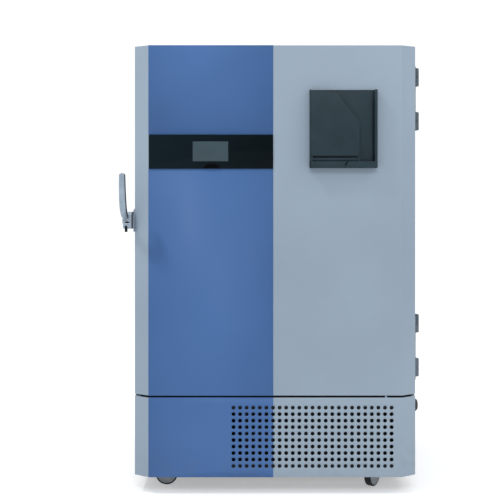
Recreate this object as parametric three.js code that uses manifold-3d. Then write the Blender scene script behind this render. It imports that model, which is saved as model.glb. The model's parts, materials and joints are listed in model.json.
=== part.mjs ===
// An upright ultra-low-temperature laboratory freezer on casters, in millimetres, +Z up.
// Sub-parts are laid out with X across from the middle of the body, Y back from the door's front face
// and Z up from the floor. The last lines move the whole object so that its own box is centred on X and Y.
import * as THREE from "three";
import { mergeVertices } from "three/addons/utils/BufferGeometryUtils.js";
import Module from "manifold-3d";

const wasm = await Module();
wasm.setup();

// Overall sizes
const bodyWidth = 1232;
const bodyDepth = 1000;
const bodyHeight = 1955;
const cornerWidth = 64; // the sloping front corners, across
const cornerDepth = 38; // and back
const sheet = 1.5; // pressed sheet steel
const gap = 0.3; // between pieces that touch

// Insulated cabinet and main door
const doorBottom = 430;
const doorDepth = 140;
const gasketDepth = 14;
const wallDepth = 110; // shell, foam and liner together
const trimDepth = 12;
const doorLinerSheet = 2;
const plugDepth = 30; // raised middle of the door's inner skin
const plugClearance = 12;
const gasketWidth = 48;
const gasketOffset = 12; // from the opening's edge

// Shelves and inner doors
const compartments = 4;
const shelfSheet = 2;
const shelfLip = 25;
const ladderDepth = 6;
const ladderWidth = 30;
const ledgeWidth = 24;
const ledgeDepth = 3;
const innerDoorClearance = 14; // behind the main door's inner skin
const innerDoorDepth = 35;
const innerDoorSideGap = 4;
const innerDoorGap = 10; // between one inner door and the next
const innerPinRadius = 3;
const innerPinLength = 10;
const lugHeight = 5;
const innerPivotInset = 8; // from the inner door's edge

// Machine compartment
const doorGap = 8.5; // between the main door and the front panel
const panelBottom = 75;
const panelDepth = 60;
const panelSwingGap = 4; // lets the front panel's hinged edge turn
const wheelClearance = 20; // from the wheels up to the base tray
const traySheet = 3;
const railHeight = 40;
const railDepth = 20;
const postWidth = 40;

// Perforated grille
const holeColumns = 25;
const holeRows = 10;
const holePitchAcross = 28.66;
const holePitchUp = 28.2;
const holeRadius = 8.2;
const holeSides = 6;
const lastColumnInset = 110; // from the right edge of the body
const firstRowRise = 49; // above the panel's bottom edge

// Blue finish, control band and screen
const stripeEnd = -9; // right edge of the blue finish
const film = 0.5;
const bandBelowTop = 390;
const bandHeight = 147;
const bandDepth = 3;
const screenWidth = 154;
const screenHeight = 86;
const screenLeft = 193; // from the band's left end
const screenDrop = 29;
const screenDepth = 0.6;
const windowWidth = 72;
const windowHeight = 21;

// Document holder
const holderWidth = 292;
const holderHeight = 340;
const holderDepth = 34;
const holderWall = 3;
const holderRightInset = 175; // from the body's right edge
const holderBelowTop = 195;
const holderLedge = 29;
const holderFrontWidth = 211;
const holderRail = 12; // width of the tray's right side
const holderGroove = 9; // between that side and the divider
const holderDivider = 17; // divider's front face from the door
const holderSlotRise = 44; // slot in the cover, above the tray's lower edge
const holderSlotHeight = 9;

// Hinges
const hingeOut = 22; // axis outside the body's right side
const hingeBarrelRadius = 14;
const hingePinRadius = 6;
const hingeRunning = 0.4;
const knuckleHeight = 80;
const knucklePitch = 198; // between the two knuckles of one hinge
const hingeLeafDepth = 5;
const hingeLeafReach = 92; // along the side, from the axis
const upperHingeBelowTop = 82;
const lowerHingeRise = 56;

// Handle and lock
const handleHeight = 1192; // pivot above the floor
const handlePivotDepth = 60;
const gripWidth = 28;
const gripDepth = 20;
const gripForward = 88; // in front of the door's face
const gripTop = 207; // above the pivot
const hubWidth = 42;
const hubHeight = 73;
const hubGap = 8; // hub to the body's left side
const bracketDepth = 5;
const bracketHeight = 100;
const bracketInset = 10; // from the back of the door's skin
const pivotRadius = 10;
const lockRadius = 6;
const lockHeadWidth = 27;
const lockHeadHeight = 14;
const lockDrop = 8; // below the pivot
const tonguePast = 48; // past the cabinet's front edge
const clawDrop = 20; // below the pivot
const strikeRise = 0.8; // claw above the peg

// Casters
const casterInset = 161; // swivel axis from the body's side
const casterFront = 150;
const casterBack = 130; // from the back
const wheelRadius = 50;
const wheelWidth = 32;
const wheelSides = 20;
const casterTrail = 30;
const axleRadius = 6;
const forkSheet = 3;
const forkGap = 2;
const swivelRadius = 32;

// Refrigeration
const compressorRadius = 95;
const compressorHeight = 215;
const condenserWidth = 600;
const condenserHeight = 265;
const condenserDepth = 70;
const fanRadius = 110;
const fanDepth = 26;
const shroudSheet = 3;
const bladeRise = 6; // blades behind the shroud's front face
const motorGap = 2;
const shaftRadius = 5;
const spacerDepth = 25;
const portRadius = 12.5;

// Values worked out from those
const halfWidth = bodyWidth / 2;
const cabinetFront = doorDepth + gasketDepth;
const openingHalf = halfWidth - wallDepth;
const openingBottom = doorBottom + wallDepth;
const openingTop = bodyHeight - wallDepth;
const openingBack = bodyDepth - wallDepth;
const panelTop = doorBottom - doorGap;
const linerFront = cabinetFront + trimDepth + gap;
const innerDoorFront = doorDepth + plugDepth + innerDoorClearance;
const insideHalf = openingHalf - gap - sheet;
const shelfPitch = (openingTop - openingBottom) / compartments;
const shelfFront = innerDoorFront + innerDoorDepth + 5;
const hingeX = halfWidth + hingeOut;
const hingeY = cabinetFront - 4;
const frameHalf = halfWidth - sheet - gap;
const frameFront = panelDepth + panelSwingGap;
const baseHeight = 2 * wheelRadius + wheelClearance;
const stripeStart = cornerWidth - halfWidth;
const tongueReach = cabinetFront + tonguePast - handlePivotDepth; // behind the pivot
const bandTop = bodyHeight - bandBelowTop;
const bandBottom = bandTop - bandHeight;
const machineFloor = baseHeight + traySheet + gap;

const finishes = {
  greyPaint: { color: 0x9aaaba, roughness: 0.45, metalness: 0.1 },
  bluePaint: { color: 0x5174ad, roughness: 0.42, metalness: 0.1 },
  blackGlass: { color: 0x0f181d, roughness: 0.12, metalness: 0 },
  screenGlass: { color: 0x46565f, roughness: 0.2, metalness: 0 },
  blackPlastic: { color: 0x2a353c, roughness: 0.5, metalness: 0 },
  palePlastic: { color: 0xc9d2da, roughness: 0.5, metalness: 0 },
  foam: { color: 0xd8cfae, roughness: 0.9, metalness: 0 },
  rubber: { color: 0x3a3e42, roughness: 0.8, metalness: 0 },
  stainless: { color: 0xb4b8ba, roughness: 0.35, metalness: 0.9 },
  hingeSteel: { color: 0x5c666e, roughness: 0.4, metalness: 0.8 },
  castHandle: { color: 0xa9b8c8, roughness: 0.4, metalness: 0.3 },
  darkSteel: { color: 0x22262a, roughness: 0.5, metalness: 0.6 },
  zincSteel: { color: 0x9da1a3, roughness: 0.4, metalness: 0.8 },
  aluminium: { color: 0xc0c4c6, roughness: 0.4, metalness: 0.9 },
  tyre: { color: 0x1c1d1f, roughness: 0.85, metalness: 0 },
};

// ---- making solids ----

const grain = 1 / 1024; // corners sit on this grid, so faces meant to share a plane share it exactly

// A closed three.js geometry as a solid that can be cut and joined.
function solid(geometry) {
  geometry.deleteAttribute("normal");
  geometry.deleteAttribute("uv");
  const merged = mergeVertices(geometry);
  const vertProperties = merged.attributes.position.array.map((value) => Math.round(value / grain) * grain);
  const triVerts = new Uint32Array(merged.index.array);
  return new wasm.Manifold(new wasm.Mesh({ numProp: 3, vertProperties, triVerts }));
}

// The solid back as a three.js geometry.
function geometryOf(shape) {
  const { vertProperties, triVerts } = shape.getMesh();
  const geometry = new THREE.BufferGeometry();
  geometry.setAttribute("position", new THREE.BufferAttribute(vertProperties, 3));
  geometry.setIndex(new THREE.BufferAttribute(triVerts, 1));
  geometry.computeVertexNormals();
  return geometry;
}

// A box between two values on each axis.
function box([left, right], [front, back], [low, high]) {
  const geometry = new THREE.BoxGeometry(right - left, back - front, high - low);
  geometry.translate((left + right) / 2, (front + back) / 2, (low + high) / 2);
  return solid(geometry);
}

function outlineShape(points) {
  return new THREE.Shape(points.map(([x, y]) => new THREE.Vector2(x, y)));
}

// An outline in X and Y carried up from low to high.
function uprightPrism(points, [low, high]) {
  const settings = { depth: high - low, bevelEnabled: false };
  const geometry = new THREE.ExtrudeGeometry(outlineShape(points), settings);
  geometry.translate(0, 0, low);
  return solid(geometry);
}

const acrossBasis = new THREE.Matrix4().makeBasis(
  new THREE.Vector3(0, 1, 0),
  new THREE.Vector3(0, 0, 1),
  new THREE.Vector3(1, 0, 0),
);
const deepBasis = new THREE.Matrix4().makeBasis(
  new THREE.Vector3(1, 0, 0),
  new THREE.Vector3(0, 0, 1),
  new THREE.Vector3(0, -1, 0),
);

// An outline in Y and Z carried across from left to right, with its long edges eased by bevel.
function acrossPrism(points, [left, right], bevel = 0) {
  const geometry = new THREE.ExtrudeGeometry(outlineShape(points), {
    depth: right - left - 2 * bevel,
    bevelEnabled: bevel > 0,
    bevelSize: bevel,
    bevelThickness: bevel,
    bevelOffset: -bevel,
    bevelSegments: 1,
  });
  geometry.applyMatrix4(acrossBasis);
  geometry.translate(left + bevel, 0, 0);
  return solid(geometry);
}

// One or more outlines in X and Z carried from front to back.
function deepPrism(outlines, [front, back]) {
  const settings = { depth: back - front, bevelEnabled: false };
  const geometry = new THREE.ExtrudeGeometry(outlines.map(outlineShape), settings);
  geometry.applyMatrix4(deepBasis);
  geometry.translate(0, back, 0);
  return solid(geometry);
}

// A round bar along an axis.
function rod(axis, radius, [low, high], sides = 16) {
  const geometry = new THREE.CylinderGeometry(radius, radius, high - low, sides);
  geometry.translate(0, (low + high) / 2, 0);
  if (axis === "x") geometry.rotateZ(-Math.PI / 2);
  if (axis === "z") geometry.rotateX(Math.PI / 2);
  return solid(geometry);
}

// A profile of [radius, height] points, from axis to axis, turned about Z.
function turned(profile, sides = 24) {
  const points = profile.map(([radius, height]) => new THREE.Vector2(radius, height));
  const geometry = new THREE.LatheGeometry(points, sides);
  geometry.rotateX(Math.PI / 2);
  return solid(geometry);
}

function join(shapes) {
  return shapes.reduce((whole, shape) => whole.add(shape));
}

function ellipse(x, z, halfAcross, halfUp, sides, startAngle = 0, sweep = 2 * Math.PI) {
  const steps = sweep < 2 * Math.PI ? sides + 1 : sides;
  return Array.from({ length: steps }, (_, i) => {
    const angle = startAngle + (sweep * i) / sides;
    return [x + halfAcross * Math.cos(angle), z + halfUp * Math.sin(angle)];
  });
}

function piece(parent, name, shape, finish) {
  const mesh = new THREE.Mesh(geometryOf(shape), new THREE.MeshStandardMaterial(finishes[finish]));
  mesh.name = name;
  parent.add(mesh);
  return mesh;
}

function groupAt(parent, x, y, z) {
  const group = new THREE.Group();
  group.position.set(x, y, z);
  parent.add(group);
  return group;
}

// ---- insulated cabinet ----

// A box open at the front, with walls of the given thickness.
function openBox([left, right], [front, back], [low, high], wall) {
  const inside = box([left + wall, right - wall], [front - 1, back - wall], [low + wall, high - wall]);
  return box([left, right], [front, back], [low, high]).subtract(inside);
}

const portX = openingHalf - 90;
const portZ = openingTop - 120;
const innerPivotX = insideHalf - innerDoorSideGap - innerPivotInset;

// The bore of the probe port, through the back wall.
function portBore(radius) {
  return rod("y", radius, [openingBack - 20, bodyDepth + 20], 16).translate([portX, 0, portZ]);
}

// Lugs from the liner's right wall to the inner doors' hinge axis, one between each door and the next,
// each with a pin up and a pin down where there is a door to carry.
function innerDoorLugs() {
  const shapes = [];
  for (let level = 0; level <= compartments; level += 1) {
    const middle = openingBottom + level * shelfPitch;
    const low = middle + (level === 0 ? gap + sheet - 1 : -lugHeight / 2);
    const high = middle + (level === compartments ? 1 - gap - sheet : lugHeight / 2);
    const lugDepth = [innerDoorFront + 2, innerDoorFront + 16];
    shapes.push(box([innerPivotX - 6, insideHalf + 1], lugDepth, [low, high]));
    const pinLow = level === 0 ? low : low - innerPinLength;
    const pinHigh = level === compartments ? high : high + innerPinLength;
    const pin = rod("z", innerPinRadius, [pinLow, pinHigh], 8);
    shapes.push(pin.translate([innerPivotX, innerDoorFront + innerPivotInset, 0]));
  }
  return join(shapes);
}

function addCabinet(parent) {
  const shell = openBox([-halfWidth, halfWidth], [cabinetFront, bodyDepth], [doorBottom, bodyHeight], sheet);
  piece(parent, "outer_shell", shell.subtract(portBore(portRadius + gap)), "greyPaint");

  const inset = sheet + gap;
  const foam = box([inset - halfWidth, halfWidth - inset], [linerFront, bodyDepth - inset],
    [doorBottom + inset, bodyHeight - inset]);
  const hollow = box([-openingHalf, openingHalf], [linerFront - 1, openingBack], [openingBottom, openingTop]);
  piece(parent, "insulation_block", foam.subtract(hollow).subtract(portBore(portRadius + gap)), "foam");

  const liner = openBox([gap - openingHalf, openingHalf - gap], [linerFront, openingBack - gap],
    [openingBottom + gap, openingTop - gap], sheet);
  piece(parent, "inner_liner", liner.subtract(portBore(portRadius + gap)).add(innerDoorLugs()), "stainless");

  const trim = box([inset - halfWidth, halfWidth - inset], [cabinetFront, cabinetFront + trimDepth],
    [doorBottom + inset, bodyHeight - inset]);
  const mouth = box([-openingHalf, openingHalf], [0, bodyDepth], [openingBottom, openingTop]);
  piece(parent, "front_trim", trim.subtract(mouth), "palePlastic");

  const stem = rod("y", portRadius, [openingBack - 6, bodyDepth + gap + 1], 16);
  const cap = rod("y", portRadius * 2, [bodyDepth + gap, bodyDepth + 12], 24);
  piece(parent, "port_plug", stem.add(cap).translate([portX, 0, portZ]), "blackPlastic");
}

// Two upright strips tied by one ledge under each shelf, against one side of the liner.
function shelfLadder(side) {
  const wall = insideHalf - gap;
  const stripX = [wall - ladderDepth, wall];
  const ledgeX = [wall - ledgeWidth, wall];
  const low = openingBottom + gap + sheet + gap;
  const high = openingTop - gap - sheet - gap;
  const frontStrip = shelfFront + 50;
  const backStrip = openingBack - 90;
  const shapes = [frontStrip, backStrip].map((y) => box(stripX, [y, y + ladderWidth], [low, high]));
  for (let shelf = 1; shelf < compartments; shelf += 1) {
    const top = openingBottom + shelf * shelfPitch;
    shapes.push(box(ledgeX, [frontStrip, backStrip + ladderWidth], [top - ledgeDepth, top]));
  }
  const ladder = join(shapes);
  return side < 0 ? ladder.mirror([1, 0, 0]) : ladder;
}

// A flat tray with its front edge turned down and its back edge turned up.
function shelfTray(level) {
  const half = insideHalf - 2 * gap - ladderDepth;
  const low = openingBottom + level * shelfPitch + gap;
  const back = openingBack - gap - sheet - 12;
  const plate = box([-half, half], [shelfFront, back], [low, low + shelfSheet]);
  const lipDepth = [shelfFront, shelfFront + shelfSheet];
  const frontLip = box([-half, half], lipDepth, [low - shelfLip, low + shelfSheet]);
  const backLip = box([-half, half], [back - shelfSheet, back], [low, low + shelfLip]);
  return join([plate, frontLip, backLip]);
}

function addShelves(parent) {
  piece(parent, "shelf_ladder_left", shelfLadder(-1), "stainless");
  piece(parent, "shelf_ladder_right", shelfLadder(1), "stainless");
  ["shelf_lower", "shelf_middle", "shelf_upper"].forEach((name, i) => {
    piece(parent, name, shelfTray(i + 1), "stainless");
  });
}

// An insulated inner door with eased front edges, a pull at its free side and a bore at each end for a pin.
// Its own zero is the foot of its hinge axis.
function innerDoor(height) {
  const right = innerPivotInset;
  const left = innerPivotInset - 2 * (insideHalf - innerDoorSideGap);
  const ease = 6;
  const front = -innerPivotInset;
  const back = innerDoorDepth - innerPivotInset;
  const outline = [
    [left, front + ease], [left + ease, front], [right - ease, front], [right, front + ease],
    [right, back], [left, back],
  ];
  const pullHeight = 70;
  const pull = box([left + 30, left + 52], [front - 9, front + 1],
    [(height - pullHeight) / 2, (height + pullHeight) / 2]);
  const bore = rod("z", innerPinRadius + hingeRunning, [-1, innerPinLength + 1], 8);
  const upperBore = bore.translate([0, 0, height - innerPinLength]);
  return uprightPrism(outline, [0, height]).add(pull).subtract(bore).subtract(upperBore);
}

function addInnerDoors(parent) {
  const height = shelfPitch - innerDoorGap;
  for (let level = 0; level < compartments; level += 1) {
    const bottom = openingBottom + level * shelfPitch + innerDoorGap / 2;
    const group = groupAt(parent, innerPivotX, innerDoorFront + innerPivotInset, bottom);
    piece(group, `inner_door_${level + 1}`, innerDoor(height), "palePlastic");
  }
}

// ---- main door ----

// Plan of a pan: a rectangle from the front plane back, with its two front corners cut off.
function panOutline(inset, back) {
  const half = halfWidth - inset;
  return [
    [-half, back], [-half, cornerDepth + inset], [cornerWidth - half, inset],
    [half - cornerWidth, inset], [half, cornerDepth + inset], [half, back],
  ];
}

// A pressed pan, open at the back.
function pan(back, [low, high]) {
  const hollow = uprightPrism(panOutline(sheet, back + 1), [low + sheet, high - sheet]);
  return uprightPrism(panOutline(0, back), [low, high]).subtract(hollow);
}

const plugHalf = openingHalf - plugClearance;
const plugSpan = [openingBottom + plugClearance, openingTop - plugClearance];

function doorFoam() {
  const inset = sheet + gap;
  const back = doorDepth - doorLinerSheet - gap;
  const slab = uprightPrism(panOutline(inset, back), [doorBottom + inset, bodyHeight - inset]);
  const wall = doorLinerSheet + gap;
  const core = box([wall - plugHalf, plugHalf - wall], [back - 1, doorDepth + plugDepth - wall],
    [plugSpan[0] + wall, plugSpan[1] - wall]);
  return slab.add(core);
}

function doorInnerSkin() {
  const inset = sheet + gap;
  const flange = box([inset - halfWidth, halfWidth - inset], [doorDepth - doorLinerSheet, doorDepth],
    [doorBottom + inset, bodyHeight - inset]);
  const plug = box([-plugHalf, plugHalf], [doorDepth - doorLinerSheet, doorDepth + plugDepth], plugSpan);
  const hollow = box([doorLinerSheet - plugHalf, plugHalf - doorLinerSheet],
    [doorDepth - doorLinerSheet - 1, doorDepth + plugDepth - doorLinerSheet],
    [plugSpan[0] + doorLinerSheet, plugSpan[1] - doorLinerSheet]);
  return flange.add(plug).subtract(hollow);
}

function doorSeal() {
  const inner = openingHalf + gasketOffset;
  const outer = inner + gasketWidth;
  const depth = [doorDepth + gap, cabinetFront - gap];
  const whole = box([-outer, outer], depth,
    [openingBottom - gasketOffset - gasketWidth, openingTop + gasketOffset + gasketWidth]);
  const insideRise = [openingBottom - gasketOffset, openingTop + gasketOffset];
  return whole.subtract(box([-inner, inner], [0, bodyDepth], insideRise));
}

function addDoorSkins(parent) {
  piece(parent, "door_skin", pan(doorDepth, [doorBottom, bodyHeight]), "greyPaint");
  piece(parent, "door_insulation", doorFoam(), "foam");
  piece(parent, "door_liner", doorInnerSkin(), "palePlastic");
  piece(parent, "door_gasket", doorSeal(), "rubber");

  const blue = box([stripeStart, stripeEnd], [-gap - film, -gap], [doorBottom, bodyHeight]);
  const bandRise = [bandBottom - gap, bandTop + gap];
  const window = box([stripeStart - 1, stripeEnd + 1], [-bodyDepth, bodyDepth], bandRise);
  const stripes = blue.subtract(window);
  const bridge = box([stripeStart, stripeStart + 1], [-gap - film, -gap], [bandBottom - 2, bandTop + 2]);
  piece(parent, "door_blue_film", stripes.add(bridge), "bluePaint");
}

function addControls(parent) {
  const bandFront = -gap - bandDepth;
  const band = box([stripeStart + 1 + gap, stripeEnd], [bandFront, -gap], [bandBottom, bandTop]);
  piece(parent, "control_band", band, "blackGlass");

  const left = stripeStart + screenLeft;
  const top = bandTop - screenDrop;
  const glassFront = bandFront - gap - screenDepth;
  const screen = box([left, left + screenWidth], [glassFront, bandFront - gap], [top - screenHeight, top]);
  piece(parent, "screen", screen, "screenGlass");

  const middle = left + screenWidth / 2 + 7;
  const outline = ellipse(middle, bandBottom + 1, windowWidth / 2, windowHeight, 12, 0, Math.PI);
  piece(parent, "indicator_window", deepPrism([outline], [glassFront, bandFront - gap]), "blackGlass");
}

function addHolder(parent) {
  const right = halfWidth - holderRightInset;
  const left = right - holderWidth;
  const top = bodyHeight - holderBelowTop;
  const bottom = top - holderHeight;
  const rear = -gap;
  const front = -holderDepth;
  const tray = join([
    box([left, right], [rear - holderWall, rear], [bottom, top]),
    box([left, left + holderWall], [front, rear], [bottom, top]),
    box([right - holderRail, right], [front, rear], [bottom, top]),
    box([left, right - holderRail - holderGroove], [-holderDivider, holderWall - holderDivider],
      [bottom, top - 2 * holderWall]),
    box([left, right], [front, rear], [bottom, bottom + holderLedge]),
  ]);
  piece(parent, "holder_back", tray, "blackPlastic");

  const coverLeft = left + holderWall + gap;
  const coverRight = left + holderWall + holderFrontWidth;
  const cover = [
    [coverLeft, bottom + holderLedge + gap], [coverRight, bottom + holderLedge + gap],
    [coverRight, top - 135], [coverRight - 32, top - 99], [coverRight - 103, top - 10], [coverLeft, top - 4],
  ];
  const slot = box([coverLeft + 8.6, coverRight - 5.5], [2 * front, rear],
    [bottom + holderSlotRise, bottom + holderSlotRise + holderSlotHeight]);
  const coverPlate = deepPrism([cover], [front, front + holderWall]);
  piece(parent, "holder_front", coverPlate.subtract(slot), "blackPlastic");
}

// ---- hinges ----

// One leaf with two knuckles. side is 1 on the cabinet, whose knuckles are the lower halves and carry pins,
// and -1 on the door, whose upper halves are bored to turn on them.
function hingeLeaf(side, bottom) {
  const half = knuckleHeight / 2;
  const plateX = [halfWidth + gap - hingeX, halfWidth + gap + hingeLeafDepth - hingeX];
  const far = side * hingeLeafReach;
  const near = side * (hingeBarrelRadius + 8);
  const plate = box(plateX, [Math.min(near, far), Math.max(near, far)], [0, knuckleHeight + knucklePitch]);
  const shapes = [plate];
  const bores = [];
  [0, knucklePitch].forEach((rise) => {
    const span = side > 0 ? [rise, rise + half - gap] : [rise + half + gap, rise + knuckleHeight];
    shapes.push(rod("z", hingeBarrelRadius, span));
    shapes.push(box([plateX[0], 0], [Math.min(0, near + side), Math.max(0, near + side)], span));
    const pinTop = rise + knuckleHeight - 12;
    if (side > 0) shapes.push(rod("z", hingePinRadius, [rise, pinTop], 16));
    else bores.push(rod("z", hingePinRadius + hingeRunning, [rise, pinTop + 1], 16));
  });
  return bores.reduce((leaf, bore) => leaf.subtract(bore), join(shapes)).translate([0, 0, bottom]);
}

const hinges = [
  { name: "upper_hinge", bottom: bodyHeight - upperHingeBelowTop - knucklePitch - knuckleHeight },
  { name: "lower_hinge", bottom: doorBottom + lowerHingeRise },
];

function addHingeLeaves(parent, side, label) {
  const group = groupAt(parent, hingeX, hingeY, 0);
  hinges.forEach(({ name, bottom }) => {
    piece(group, `${name}_${label}_leaf`, hingeLeaf(side, bottom), "hingeSteel");
  });
}

// ---- handle ----

const hubRight = -hubGap;
const hubLeft = hubRight - hubWidth;
const hubMiddle = (hubLeft + hubRight) / 2;
const hubFront = -45; // from the pivot
const hubBack = 40;

// Side view of the grip: a curve leaving the hub forwards and upwards, with a round end.
function gripOutline() {
  const curve = new THREE.CubicBezierCurve(
    new THREE.Vector2(-15, 12),
    new THREE.Vector2(-100, 14),
    new THREE.Vector2(gripDepth / 2 - gripForward - handlePivotDepth - 2, gripTop * 0.4),
    new THREE.Vector2(gripDepth / 2 - gripForward - handlePivotDepth, gripTop - gripDepth / 2),
  );
  const steps = 9;
  const front = [];
  const rear = [];
  for (let i = 0; i <= steps; i += 1) {
    const point = curve.getPoint(i / steps);
    const tangent = curve.getTangent(i / steps);
    const normal = new THREE.Vector2(-tangent.y, tangent.x).multiplyScalar(gripDepth / 2);
    front.push([point.x + normal.x, point.y + normal.y]);
    rear.unshift([point.x - normal.x, point.y - normal.y]);
  }
  const end = curve.getPoint(1);
  const cap = ellipse(end.x, end.y, gripDepth / 2, gripDepth / 2, 4, Math.PI, -Math.PI).slice(1, -1);
  return [...front, ...cap, ...rear];
}

function hubOutline() {
  const half = hubHeight / 2;
  const ease = 14;
  return [
    [hubFront, ease - half], [hubFront + ease, -half], [hubBack - ease, -half], [hubBack, ease - half],
    [hubBack, half - ease], [hubBack - ease, half], [hubFront + ease, half], [hubFront, half - ease],
  ];
}

// The lever with its grip, hub, padlock tab and the tongue that reaches back past the door to the strike.
function lever() {
  const grip = acrossPrism(gripOutline(), [hubLeft - 3, hubLeft - 3 + gripWidth], 4);
  const hub = acrossPrism(hubOutline(), [hubLeft, hubRight], 3);
  const tongue = box([hubMiddle - 2, hubMiddle + 10], [0, tongueReach], [-12, 10]);
  const claw = box([hubMiddle - 2, hubMiddle + 10], [tongueReach - 14, tongueReach], [-clawDrop, 0]);
  const tab = box([hubLeft + 10, hubLeft + 20], [-20, 0], [-hubHeight / 2 - 14, 0]);
  const pivotBore = rod("x", pivotRadius + gap, [hubMiddle, 0]);
  const lockBore = rod("y", lockRadius + gap, [hubFront - 1, hubFront + 30], 16)
    .translate([hubLeft + 20, 0, -lockDrop]);
  return join([grip, hub, tongue, claw, tab]).subtract(pivotBore).subtract(lockBore);
}

function handleBracket() {
  const back = doorDepth - bracketInset - handlePivotDepth;
  const half = bracketHeight / 2;
  const outline = [
    [-38, -half], [back, -half], [back, half], [-22, half], [-22, half - 20], [-38, half - 30],
  ];
  return acrossPrism(outline, [-bracketDepth, -gap]).add(rod("x", pivotRadius, [hubMiddle + 3, -1]));
}

// An oval head on a round stem, turned by the key.
function lockBarrel() {
  const oval = ellipse(0, 0, lockHeadWidth / 2, lockHeadHeight / 2, 20);
  const head = deepPrism([oval], [hubFront - 3 - gap, hubFront - gap]);
  return head.add(rod("y", lockRadius, [hubFront - 1, hubFront + 25], 16));
}

function addHandle(parent) {
  const group = groupAt(parent, -halfWidth, handlePivotDepth, handleHeight);
  piece(group, "handle_bracket", handleBracket(), "castHandle");
  piece(group, "handle_lever", lever(), "castHandle");
  const lockGroup = groupAt(group, hubLeft + 20, 0, -lockDrop);
  piece(lockGroup, "lock_barrel", lockBarrel(), "darkSteel");
}

// A plate on the cabinet's side with a peg just under the tongue's claw.
function addStrike(parent) {
  const group = groupAt(parent, -halfWidth, handlePivotDepth + tongueReach, handleHeight);
  const plate = acrossPrism([[-30, -50], [34, -50], [34, 30], [-30, 30]], [-bracketDepth, -gap]);
  const pegTop = -clawDrop - strikeRise;
  const peg = box([hubMiddle - 4, -1], [-26, -14], [pegTop - 15, pegTop]);
  piece(group, "latch_strike", plate.add(peg), "hingeSteel");
}

// ---- machine compartment ----

// A tray on a ring of rails with four posts and two top rails.
function baseFrame() {
  const back = bodyDepth - sheet - gap;
  const top = baseHeight + railHeight;
  const shapes = [box([-frameHalf, frameHalf], [frameFront, back], [baseHeight, baseHeight + traySheet])];
  [frameFront, back - railDepth].forEach((y) => {
    shapes.push(box([-frameHalf, frameHalf], [y, y + railDepth], [baseHeight, top]));
  });
  [-frameHalf, frameHalf - postWidth].forEach((x) => {
    shapes.push(box([x, x + railDepth], [frameFront, back], [baseHeight, top]));
    shapes.push(box([x, x + postWidth], [frameFront, cabinetFront - 2], [panelTop - railDepth, panelTop]));
    shapes.push(box([x, x + postWidth], [cabinetFront - 4, back], [panelTop - railDepth, doorBottom - gap]));
    [frameFront, back - postWidth].forEach((y) => {
      shapes.push(box([x, x + postWidth], [y, y + postWidth], [baseHeight, panelTop - 1]));
    });
  });
  shapes.push(box([-frameHalf, frameHalf], [frameFront, cabinetFront - 2], [panelTop - traySheet, panelTop]));
  return join(shapes);
}

const knobDepth = frameFront + postWidth + 14; // clear of the post behind it
const knobHeight = 364;
const knobStemRadius = 5;

function sideCover(side) {
  const step = cabinetFront - 2;
  const outline = [
    [frameFront, panelBottom], [bodyDepth, panelBottom], [bodyDepth, doorBottom - gap],
    [step, doorBottom - gap], [step, panelTop], [frameFront, panelTop],
  ];
  const span = side < 0 ? [-halfWidth, sheet - halfWidth] : [halfWidth - sheet, halfWidth];
  const slots = Array.from({ length: 6 }, (_, i) => {
    const low = baseHeight + railHeight + 40 + i * 26;
    return box([span[0] - 5, span[1] + 5], [bodyDepth - 330, bodyDepth - 110], [low, low + 9]);
  });
  return slots.reduce((cover, slot) => cover.subtract(slot), acrossPrism(outline, span));
}

function rearCover() {
  const half = halfWidth - sheet - gap;
  const plate = box([-half, half], [bodyDepth - sheet, bodyDepth], [panelBottom, doorBottom - gap]);
  const slots = [];
  for (let row = 0; row < 6; row += 1) {
    [-1, 1].forEach((side) => {
      const low = baseHeight + railHeight + 40 + row * 26;
      const middle = side * half * 0.5;
      slots.push(box([middle - 140, middle + 140], [bodyDepth - 9, bodyDepth + 9], [low, low + 9]));
    });
  }
  return slots.reduce((cover, slot) => cover.subtract(slot), plate);
}

function addBase(parent) {
  piece(parent, "base_frame", baseFrame(), "darkSteel");
  piece(parent, "side_cover_left", sideCover(-1), "greyPaint");
  const stemHole = rod("x", knobStemRadius + gap, [halfWidth - 10, halfWidth + 10], 16)
    .translate([0, knobDepth, knobHeight]);
  piece(parent, "side_cover_right", sideCover(1).subtract(stemHole), "greyPaint");
  piece(parent, "rear_cover", rearCover(), "greyPaint");

  const knobProfile = [[0, 0], [24, 0], [28.5, 4], [28.5, 12], [22, 19], [10, 23], [0, 24]];
  const knob = turned(knobProfile, 20).add(rod("z", knobStemRadius, [-12, 1], 16)).rotate([0, 90, 0]);
  const knobGroup = groupAt(parent, halfWidth + gap, knobDepth, knobHeight);
  piece(knobGroup, "side_knob", knob, "blackPlastic");

  const inletX = 0;
  const inlet = box([inletX - 32, inletX + 32], [bodyDepth + gap, bodyDepth + 9], [205, 275])
    .subtract(box([inletX - 22, inletX + 22], [bodyDepth + 3, bodyDepth + 20], [213, 241]));
  piece(parent, "mains_inlet", inlet, "blackPlastic");

  [-1, 1].forEach((side) => {
    const middle = side * (openingHalf - 160);
    const spacer = box([middle - 30, middle + 30], [bodyDepth + gap, bodyDepth + spacerDepth],
      [openingTop - 110, openingTop]);
    piece(parent, side < 0 ? "rear_spacer_left" : "rear_spacer_right", spacer, "blackPlastic");
  });
}

// Hexagonal prisms at every hole of the grille.
function grilleHoles() {
  const lastColumn = halfWidth - lastColumnInset;
  const outlines = [];
  for (let column = 0; column < holeColumns; column += 1) {
    for (let row = 0; row < holeRows; row += 1) {
      const x = lastColumn - (holeColumns - 1 - column) * holePitchAcross;
      const z = panelBottom + firstRowRise + row * holePitchUp;
      outlines.push(ellipse(x, z, holeRadius, holeRadius, holeSides));
    }
  }
  return deepPrism(outlines, [-10, 10]);
}

function addFrontPanel(parent) {
  const holes = grilleHoles();
  piece(parent, "front_panel", pan(panelDepth, [panelBottom, panelTop]).subtract(holes), "greyPaint");
  const blue = box([stripeStart, stripeEnd], [-gap - film, -gap], [panelBottom, panelTop]);
  piece(parent, "front_panel_film", blue.subtract(holes), "bluePaint");
}

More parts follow.
